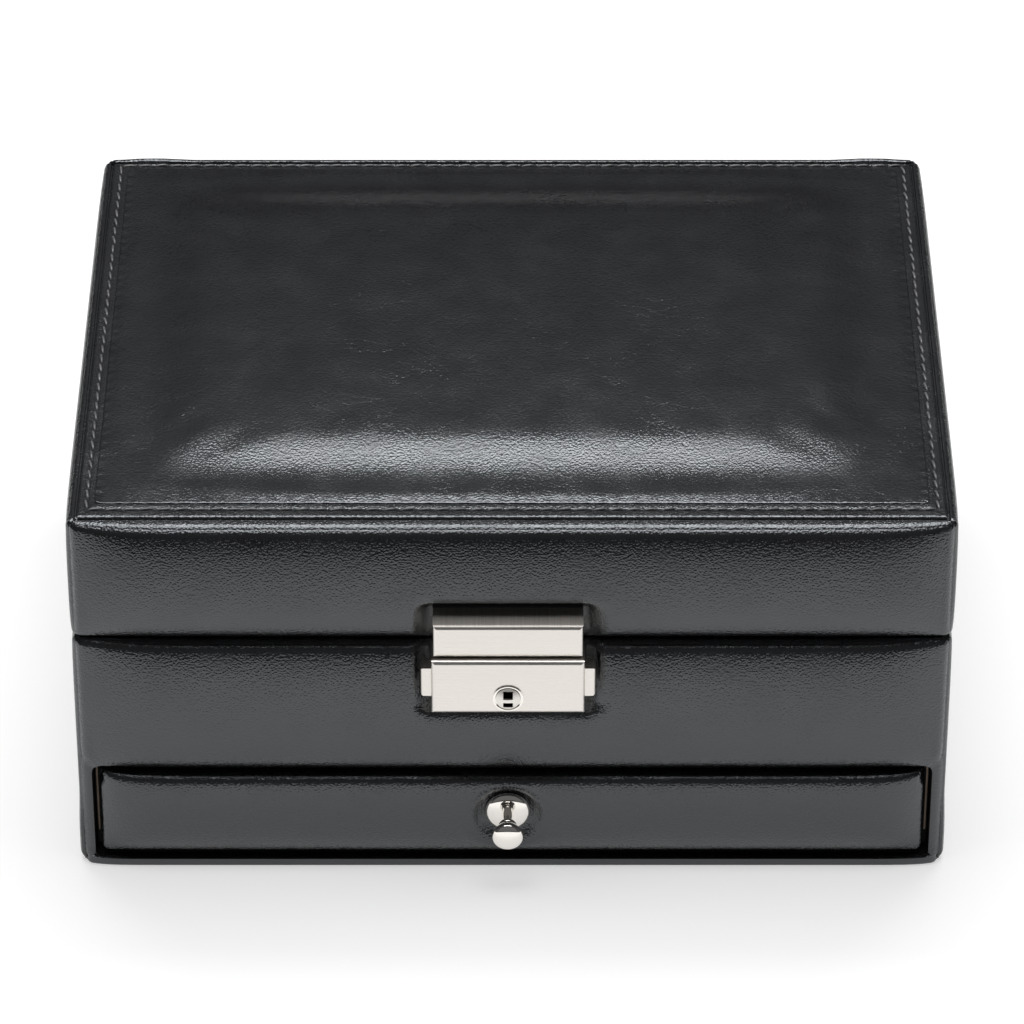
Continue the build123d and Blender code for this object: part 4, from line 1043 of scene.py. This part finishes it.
@dataclass
class LidPanel:
    """The leather panel let into the rim: a rolled edge and a stitch furrow."""

    half_x: float = 97.8
    half_y: float = 75.3
    low: float = 96.22
    high: float = 97.35
    roll: float = 0.75
    furrow: float = 0.22
    furrow_half: float = 0.55
    stitch_x: float = 95.7
    stitch_front: float = -72.1
    stitch_back: float = 73.9

    def build(self) -> Object:
        """Section, roll and furrow the panel."""
        near = (0.15, 0.32, 0.5, 0.75, 1.0, 1.25, 1.5, 1.75, 2.0, 2.3, 2.6, 2.9, 3.2, 3.6, 4.0, 4.6, 5.2, 6.0)
        obj = add_block("lid_panel_leather", (-self.half_x, -self.half_y, self.low),
                        (self.half_x, self.half_y, self.high))
        section(obj, 0, toward_edges(-self.half_x, self.half_x, near, 1.6))
        section(obj, 1, toward_edges(-self.half_y, self.half_y, near, 1.6))
        section(obj, 2, (96.5, 96.75, 96.95, 97.1, 97.22))
        remove_faces(obj, lambda c, n: n.z > 0.5 and abs(c.x) < 90.0 and -66.0 < c.y < 68.0)
        shape(obj, self.roll_over)
        apply_modifier(obj, "SOLIDIFY", thickness=0.4 * MM, offset=-1.0)
        smooth(obj, 60.0)
        return obj

    def roll_over(self, p: Array) -> Array:
        """Roll the upper edge and sink the furrow under the stitches."""
        x, y, z = p.T
        to_x, to_y = self.half_x - np.abs(x), self.half_y - np.abs(y)
        inset = np.minimum(to_x, to_y)
        turn, across, down = roll_edge(inset, self.high - z, self.roll, self.roll)
        out = np.where(turn, across, inset)
        height = np.where(turn, self.high - down, z)
        side = to_x < to_y
        nx, ny = np.where(side, np.sign(x), 0.0), np.where(side, 0.0, np.sign(y))
        top = z > self.high - 0.01
        line_y = np.where(y < 0, np.abs(y - self.stitch_front), np.abs(y - self.stitch_back))
        line_x = np.abs(np.abs(x) - self.stitch_x)
        run = np.where(side, y, x)
        furrow = np.where(side, line_x, line_y)
        pull = 0.5 + 0.5 * np.cos(run * 2 * math.pi / STITCH_PITCH)
        sunk = self.furrow * np.exp(-((furrow / self.furrow_half) ** 2)) * (0.55 + 0.45 * pull)
        height = np.where(top, height - sunk, height)
        return np.column_stack([x + nx * (inset - out), y + ny * (inset - out), height])


@dataclass
class LidPad:
    """The stuffed pad on the lid, puffed by a cloth simulation inside its seam."""

    half_x: float = PAD_X
    front: float = PAD_FRONT
    back: float = PAD_BACK
    low: float = 97.3
    edge: float = 0.32
    rise: float = 3.3
    begin: float = 8.0
    full: float = 25.0
    corner: float = 1.5
    far: float = 46.0
    dome: float = 1.0
    deep: float = 1.0
    cap: float = 0.25
    frames: int = 20

    @property
    def middle(self) -> float:
        """Place of the pad's middle along Y."""
        return (self.front + self.back) / 2

    @property
    def half_y(self) -> float:
        """Half of the pad's depth."""
        return (self.back - self.front) / 2

    def inset(self, x: Array, y: Array) -> Array:
        """Distance in from the seam, with rounded corners."""
        qx = np.abs(x) - (self.half_x - self.corner)
        qy = np.abs(y - self.middle) - (self.half_y - self.corner)
        outside = np.hypot(np.maximum(qx, 0), np.maximum(qy, 0))
        return self.corner - (outside + np.minimum(np.maximum(qx, qy), 0))

    def ease(self, into: Array) -> Array:
        """Rise of the stuffing with the distance in from one seam."""
        near = np.clip((into - self.begin) / (self.full - self.begin), 0, 1)
        far = np.clip((into - self.begin) / self.far, 0, 1)
        return 0.72 * ease_in_out(near) + 0.22 * ease_in_out(far) + 0.06 * (1 - np.exp(-into / 1.5))

    def crown(self, x: Array, y: Array) -> Array:
        """Height of the stuffed surface over the panel."""
        to_x = np.maximum(self.half_x - np.abs(x), 0)
        to_y = np.maximum(self.half_y - np.abs(y - self.middle), 0)
        dome = self.dome * (1 - (x / self.half_x) ** 2) * (1 - ((y - self.middle) / self.half_y) ** 2)
        return self.edge + self.rise * self.ease(to_x) * self.ease(to_y) + dome

    def form(self, p: Array) -> Array:
        """Round the corners in plan and raise the top to its crown."""
        z = p[:, 2]
        x, y, *_ = round_plan(p[:, 0], p[:, 1] - self.middle, (self.half_x, self.half_y), self.corner)
        y = y + self.middle
        top = z > self.low + 0.9 * self.deep
        z = np.where(top, self.low + self.crown(x, y), self.low + (z - self.low) * self.edge)
        return np.column_stack([x, y, z])

    def wrinkle(self, p: Array) -> Array:
        """Small gathers where the leather is drawn down to its seam."""
        x, y, z = p[:, 0], p[:, 1], p[:, 2]
        into = self.inset(x, y)
        side = (self.half_x - np.abs(x)) < np.minimum(y - self.front, self.back - y)
        run = np.where(side, y, x)
        wave = np.sin(run * 2 * math.pi / STITCH_PITCH + 0.8 * np.sin(run * 0.31))
        wave = wave + 0.5 * np.sin(run * 2.7 + 1.3)
        near = np.exp(-((into - 0.6) / 1.1) ** 2)
        p[:, 2] = z + np.where(z > self.low + 0.2, 0.05 * wave * near, 0.0)
        return p

    def puff(self, obj: Object) -> None:
        """Run the cloth with its seam and base held, then cap how far it moved."""
        mesh = obj.data
        rest = np.array([v.co for v in mesh.vertices], float)
        held = obj.vertex_groups.new(name="held")
        into = self.inset(rest[:, 0] / MM, rest[:, 1] / MM)
        fixed = [int(i) for i in np.nonzero((into < 0.8) | (rest[:, 2] / MM < self.low + 0.3))[0]]
        held.add(fixed, 1.0, "REPLACE")
        take_up(obj)
        cloth = obj.modifiers.new("cloth", "CLOTH")
        settings = {"vertex_group_mass": "held", "use_pressure": True, "uniform_pressure_force": 2.0,
                    "tension_stiffness": 12.0, "compression_stiffness": 12.0, "bending_stiffness": 0.4,
                    "quality": 4}
        for name, value in settings.items():
            setattr(cloth.settings, name, value)
        cloth.settings.effector_weights.gravity = 0.0
        cloth.point_cache.frame_start, cloth.point_cache.frame_end = 1, self.frames
        for frame in range(1, self.frames + 1):
            bpy.context.scene.frame_set(frame)
        bpy.ops.object.modifier_apply(modifier=cloth.name)
        bpy.context.scene.frame_set(1)
        moved = np.array([v.co for v in obj.data.vertices], float)
        step = moved - rest
        length = np.linalg.norm(step, axis=1, keepdims=True)
        capped = rest + step * np.minimum(1.0, self.cap * MM / np.maximum(length, 1e-9))
        LOG.info("pad moved up to %.2f mm, held to %.2f", float(length.max()) / MM, self.cap)
        obj.data.vertices.foreach_set("co", capped.astype(np.float32).ravel())
        obj.data.update()
        obj.vertex_groups.clear()

    def build(self) -> Object:
        """Form the pad, puff it, and gather it along its seam."""
        near = (0.5, 1.0, 1.6, 2.3, 3.2, 4.4, 6.0, 8.0, 10.5, 13.0, 15.5, 18.0, 20.5, 23.0, 26.0, 29.0)
        obj = add_block("lid_pad_leather", (-self.half_x, self.front, self.low),
                        (self.half_x, self.back, self.low + self.deep))
        section(obj, 0, toward_edges(-self.half_x, self.half_x, near, 3.0))
        section(obj, 1, toward_edges(self.front, self.back, near, 3.0))
        shape(obj, self.form)
        merge_doubles(obj)
        self.puff(obj)
        for _ in range(2):
            apply_modifier(obj, "SUBSURF", levels=1, render_levels=1)
        shape(obj, self.wrinkle)
        smooth(obj, 60.0)
        return obj


@dataclass
class Stitching:
    """Stitches in the furrow round the pad. One is modelled and copied."""

    panel: LidPanel
    pitch: float = STITCH_PITCH
    length: float = 3.3
    radius: float = 0.34
    slant: float = 9.0

    def model(self) -> Object:
        """One stitch: a short round bar with swelling middle and tucked ends, along X."""
        clear_selection()
        bpy.ops.mesh.primitive_cylinder_add(vertices=6, radius=self.radius * MM, depth=self.length * MM,
                                            rotation=(0, math.pi / 2, 0), end_fill_type="NGON")
        obj = bpy.context.object
        obj.name = obj.data.name = "pad_stitches"
        bpy.ops.object.transform_apply(location=True, rotation=True, scale=True)
        section(obj, 0, [self.length * s for s in (-0.38, -0.15, 0.15, 0.38)])
        half = self.length / 2

        def bow(p: Array) -> Array:
            """Thin the ends and sink them into the leather."""
            t = p[:, 0] / half
            p[:, 1] *= 1.0 - 0.45 * t**4
            p[:, 2] = p[:, 2] * (1.0 - 0.45 * t**4) - 0.32 * t**4
            return p

        shape(obj, bow)
        return obj

    def along(self, low: float, high: float) -> list[float]:
        """The stitches' middles along one side."""
        count = round((high - low) / self.pitch)
        return [low + (high - low) * (i + 0.5) / count for i in range(count)]

    def places(self) -> list[Point]:
        """Each stitch's x, y and angle in degrees, round the pad."""
        p = self.panel
        rows: list[Point] = []
        for y, turn in ((p.stitch_front, 0.0), (p.stitch_back, 180.0)):
            rows += [(x, y, turn) for x in self.along(-p.stitch_x, p.stitch_x)]
        for x, turn in ((-p.stitch_x, 270.0), (p.stitch_x, 90.0)):
            rows += [(x, y, turn) for y in self.along(p.stitch_front, p.stitch_back)]
        return rows

    def build(self) -> Object:
        """Copy the stitch to its places and join the copies."""
        first = self.model()
        rng = np.random.default_rng(7)
        copies = []
        for x, y, turn in self.places():
            copy = first.copy()
            copy.data = first.data.copy()
            angle = math.radians(turn + self.slant + float(rng.normal(0, 2.5)))
            place = Vector((x * MM, (y + float(rng.normal(0, 0.06))) * MM, (self.panel.high + 0.02) * MM))
            copy.data.transform(Matrix.Translation(place) @ Matrix.Rotation(angle, 4, "Z"))
            bpy.context.scene.collection.objects.link(copy)
            copies.append(copy)
        clear_selection()
        for copy in copies:
            copy.select_set(True)
        bpy.context.view_layer.objects.active = copies[0]
        bpy.ops.object.join()
        joined = bpy.context.object
        bpy.data.objects.remove(first)
        joined.name = joined.data.name = "pad_stitches"
        smooth(joined, 70.0)
        return joined


@dataclass
class DrawerLeather:
    """The padded leather face of the drawer front, with rounded corners."""

    half_x: float = 95.4
    low: float = 3.7
    high: float = 28.1
    back: float = -73.6
    face: float = -77.5
    lift: float = 1.5
    proud: float = 2.9
    corner: float = 1.8
    roll: float = 2.2
    roll_low: float = 0.9
    under_knob: float = 5.4

    def build(self) -> Object:
        """Section a block, round it and lift its face."""
        near = (0.2, 0.42, 0.7, 1.0, 1.4, 1.9, 2.6, 3.5, 4.8, 6.5, 8.5, 11.0)
        obj = add_block("drawer_front_leather", (-self.half_x, self.face, self.low),
                        (self.half_x, self.back, self.high))
        around = [KNOB_X + 1.5 * step for step in range(-6, 7)]
        section(obj, 0, sorted(toward_edges(-self.half_x, self.half_x, near, 4.0) + around))
        section(obj, 2, toward_edges(self.low, self.high, near[:10], 1.4))
        section(obj, 1, [self.face + d for d in (0.2, 0.42, 0.7, 1.0, 1.4, 1.8, 2.2)])
        remove_faces(obj, lambda c, n: n.y > 0.5)
        shape(obj, self.drape)
        merge_doubles(obj)
        apply_modifier(obj, "SOLIDIFY", thickness=0.74 * MM, offset=-1.0)
        smooth(obj, 60.0)
        return obj

    def drape(self, p: Array) -> Array:
        """Round the corners and edges, and lift the face except under the knob."""
        x, y, z = p.T
        middle, half_z = (self.low + self.high) / 2, (self.high - self.low) / 2
        rx, rz, nx, nz, inset = round_plan(x, z - middle, (self.half_x, half_z), self.corner)
        roll = np.where(z > self.high - 4.0, self.roll, self.roll_low)
        turn, across, down = roll_edge(inset, y - self.face, roll, roll)
        out = np.where(turn, across, inset)
        depth = np.where(turn, self.face + down, y)
        in_x = self.half_x - np.abs(x)
        on_face = np.clip((self.face + self.roll - y) / self.roll, 0, 1)
        rise = (1 - np.exp(-(self.high - z) / 3.4)) * (1 - np.exp(-(z - self.low) / 2.6))
        rise *= gathered(in_x, 5.0)
        away = np.hypot(x - KNOB_X, z - KNOB_Z)
        ease = ease_in_out(np.clip((away - self.under_knob) / 4.0, 0, 1))
        edge = (1 - np.exp(-np.maximum(in_x, 0) / 4.0)) * (1 - np.exp(-np.maximum(z - self.low, 0) / 7.0))
        swell = self.lift * rise + self.proud * edge
        depth = depth - (swell * ease + 0.45 * (1 - ease)) * on_face
        return np.column_stack([rx + nx * (inset - out), depth, middle + rz + nz * (inset - out)])


@dataclass
class TurnedKnob:
    """The knob and its rosette, spun as on a lathe."""

    seat: float = -78.0
    ball: float = 3.55
    ball_at: float = 9.9
    ball_back: float = 3.3
    ball_front: float = 1.3
    turns: int = 96

    def lathe(self, name: str, profile: Sequence[tuple[float, float]]) -> Object:
        """Spin a profile of (radius, reach) about the knob's axis.

        Args:
            name: the piece's name.
            profile: points in mm from the seat's middle outwards.

        Returns:
            The closed, turned piece.
        """
        clear_selection()
        bpy.ops.mesh.primitive_plane_add(size=MM, location=(0, 0, 0))
        obj = bpy.context.object
        obj.name = obj.data.name = name
        bpy.ops.object.mode_set(mode="EDIT")
        mesh = bmesh.from_edit_mesh(obj.data)
        bmesh.ops.delete(mesh, geom=list(mesh.verts), context="VERTS")
        places = [(KNOB_X + radius, self.seat - reach, KNOB_Z) for radius, reach in profile]
        verts = [mesh.verts.new([c * MM for c in place]) for place in places]
        edges = [mesh.edges.new(pair) for pair in zip(verts, verts[1:])]
        for item in verts + edges:
            item.select_set(True)
        bmesh.update_edit_mesh(obj.data)
        middle = [c * MM for c in (KNOB_X, self.seat, KNOB_Z)]
        bpy.ops.mesh.spin(steps=self.turns, angle=2 * math.pi, center=middle, axis=(0, 1, 0))
        merge_doubles(obj, 0.005)
        smooth(obj, 50.0)
        return obj

    def rosette(self) -> Object:
        """The domed washer."""
        dome = [(5.2 * math.cos(math.radians(a)), 0.45 + 1.5 * math.sin(math.radians(a)) ** 0.9)
                for a in range(0, 76, 5)]
        profile = [(0.0, 0.02), (4.9, 0.02), (5.15, 0.08), (5.2, 0.25)] + dome + [(0.0, 1.95)]
        return self.lathe("knob_rosette_turned", profile)

    def knob(self) -> Object:
        """Stem, bead and ball."""
        ball = []
        for t in (math.radians(a) for a in range(28, 180, 4)):
            half = self.ball_back if math.cos(t) > 0 else self.ball_front
            ball.append((self.ball * math.sin(t), self.ball_at - half * math.cos(t)))
        stem = [(0.0, 1.0), (1.3, 1.0), (1.3, 4.6)]
        bead = [(1.34, 4.95), (1.5, 5.2), (1.75, 5.34), (1.98, 5.5), (2.1, 5.8), (2.08, 6.1), (1.95, 6.4),
                (1.72, 6.62), (1.6, 6.8)]
        profile = stem + bead + [point for point in ball if point[1] > 6.95]
        return self.lathe("knob_turned", profile + [(0.0, self.ball_at + self.ball_front)])


# ---- Studio ------------------------------------------------------------------------------------------
@dataclass
class Studio:
    """White floor, two overhead softboxes, a ceiling and a front wall of soft light, and the camera."""

    lens: float = 202.9
    pitch: float = 35.25
    distance: float = 1.384
    target: Point = (0.0, 0.0, 0.0456)
    floor_colour: Colour = (0.62, 0.62, 0.62)
    floor_glow: float = 0.56

    def camera(self) -> None:
        """The camera, at the photograph's angle."""
        clear_selection()
        angle = math.radians(self.pitch)
        back = Vector((0.0, -math.cos(angle), math.sin(angle)))
        bpy.ops.object.camera_add(location=Vector(self.target) + back * self.distance,
                                  rotation=(math.pi / 2 - angle, 0.0, 0.0))
        camera = bpy.context.object
        camera.name = "photo_camera"
        camera.data.lens = self.lens
        camera.data.sensor_width = 36.0
        camera.data.clip_start, camera.data.clip_end = 0.05, 20.0
        bpy.context.scene.camera = camera

    def softbox(self, name: str, place: Point, size: Pair, power: float, aim: Point) -> None:
        """One rectangular lamp aimed at a point."""
        clear_selection()
        bpy.ops.object.light_add(type="AREA", location=place)
        lamp = bpy.context.object
        lamp.name = name
        lamp.data.shape = "RECTANGLE"
        lamp.data.size, lamp.data.size_y = size
        lamp.data.energy = power
        way = Vector(aim) - Vector(place)
        lamp.rotation_euler = way.to_track_quat("-Z", "Y").to_euler()

    def floor(self) -> None:
        """The sweep. Its colour shows white to the camera, and it keeps the shadow."""
        clear_selection()
        bpy.ops.mesh.primitive_plane_add(size=1, location=(0, 1.37, 0))
        floor = bpy.context.object
        floor.name = "studio_floor"
        floor.scale = (5.0, 3.3, 1.0)
        bpy.ops.object.transform_apply(location=True, rotation=True, scale=True)
        material = bpy.data.materials.new("studio_white")
        material.use_nodes = True
        bench = NodeBench(material.node_tree)
        material.node_tree.nodes.remove(material.node_tree.nodes["Principled BSDF"])
        seen = bench.add("ShaderNodeLightPath")
        shown = bench.maths("MAXIMUM", seen.outputs["Is Camera Ray"], seen.outputs["Is Glossy Ray"])
        shown = bench.maths("MAXIMUM", shown, seen.outputs["Is Transmission Ray"])
        strength = bench.maths("MULTIPLY", shown, self.floor_glow)
        white = bench.add("ShaderNodeEmission", {"Color": (1, 1, 1, 1), "Strength": strength})
        matt = bench.add("ShaderNodeBsdfDiffuse", {"Color": (*self.floor_colour, 1)})
        both = bench.add("ShaderNodeAddShader", {0: matt.outputs[0], 1: white.outputs[0]})
        out = material.node_tree.nodes["Material Output"]
        material.node_tree.links.new(both.outputs[0], out.inputs["Surface"])
        paint(floor, material)

    def world(self) -> None:
        """White behind the object for the camera, and a dim grey room for everything else."""
        world = bpy.data.worlds.new("studio_room")
        bpy.context.scene.world = world
        world.use_nodes = True
        bench = NodeBench(world.node_tree)
        seen = bench.add("ShaderNodeLightPath")
        shade = bench.mix(seen.outputs["Is Camera Ray"], (0.06, 0.06, 0.062), (1.0, 1.0, 1.0))
        background = world.node_tree.nodes["Background"]
        world.node_tree.links.new(shade, background.inputs["Color"])

    def build(self) -> None:
        """Set up camera, floor, lamps and world."""
        self.camera()
        self.floor()
        self.world()
        self.softbox("overhead_back", (0.0, 0.33, 1.03), (0.85, 0.26), 6.4, (0.0, 0.3, 0.0))
        self.softbox("overhead_front", (0.0, -0.06, 1.03), (0.85, 0.5), 5.6, (0.0, -0.05, 0.0))
        self.softbox("ceiling", (0.0, 1.5, 1.6), (2.6, 1.2), 1.6, (0.0, 0.0, 0.05))
        self.softbox("front_wall", (0.0, -2.0, 1.15), (4.0, 2.2), 2.0, (0.0, 0.0, 1.15))
        bpy.context.scene.view_settings.view_transform = "Standard"


# ---- The box -------------------------------------------------------------------------------------------
@dataclass
class CufflinkBox:
    """All the pieces of the box, and the finish of every node kept from the frame."""

    finishes: Finishes
    # Boards coloured black for turned-in leather and painted shade in the gaps.
    black_shade_nodes: tuple[str, ...] = (
        "lid_top_board", "side_wall_left", "side_wall_right", "front_wall", "base_board", "deck_board",
        "drawer_left_side", "drawer_right_side", "drawer_front_board", "drawer_bottom",
    )

    def leather_pieces(self) -> None:
        """Body, lid, panel, pad, stitches and drawer front."""
        coat = self.finishes.leather
        for maker, body, stands_for in (
            (BodyLeather(), Body.BOX, ("body_cover",)),
            (LidLeather(), Body.LID, ("lid_cover",)),
            (LidPanel(), Body.LID, ("lid_panel",)),
            (DrawerLeather(), Body.DRAWER, ("drawer_front_cover",)),
        ):
            obj = maker.build()
            paint(obj, coat)
            finish_piece(obj, body, stands_for)
        pad = LidPad().build()
        paint(pad, self.finishes.pad_leather)
        finish_piece(pad, Body.LID, ("lid_pad",))
        stitches = Stitching(LidPanel()).build()
        paint(stitches, self.finishes.thread)
        finish_piece(stitches, Body.LID)

    def knob(self) -> None:
        """The turned knob and rosette."""
        turned = TurnedKnob()
        for obj, node in ((turned.rosette(), "knob_rosette"), (turned.knob(), "knob")):
            paint(obj, self.finishes.polished)
            finish_piece(obj, Body.DRAWER, (node,))

    def kept_nodes(self, nodes: dict[str, Object], slots: dict[str, str]) -> None:
        """Give every node kept from the frame its finish.

        Args:
            nodes: the frame's nodes by name.
            slots: material slot by node name.
        """
        f = self.finishes
        by_slot = {Slot.LEATHER: f.leather, Slot.BOARD: f.board, Slot.SUEDE: f.suede, Slot.FELT: f.felt,
                   Slot.SATIN_NICKEL: f.satin, Slot.POLISHED_NICKEL: f.polished, Slot.STEEL: f.steel}
        own = {name: f.black_shade_board for name in self.black_shade_nodes}
        own |= {"key_cylinder": f.barrel, "hasp": f.satin_shaded_top}
        for name, obj in nodes.items():
            paint(obj, own.get(name, by_slot[Slot(slots[name])]))
        LOG.info("%d nodes of the frame painted", len(nodes))


def slots_of(record: dict) -> dict[str, str]:
    """Material slot by node name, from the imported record."""
    return {row["node"]: row["material_slot"] for row in record["subparts"]}


def main() -> None:
    """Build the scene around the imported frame."""
    logging.basicConfig(level=logging.INFO, format="%(name)s: %(message)s")
    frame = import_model()
    bpy.ops.object.select_all(action="DESELECT")
    Studio().build()
    box = CufflinkBox(Finishes.build())
    box.kept_nodes(frame["nodes"], slots_of(frame["record"]))
    box.leather_pieces()
    box.knob()


if __name__ == "__main__":
    main()
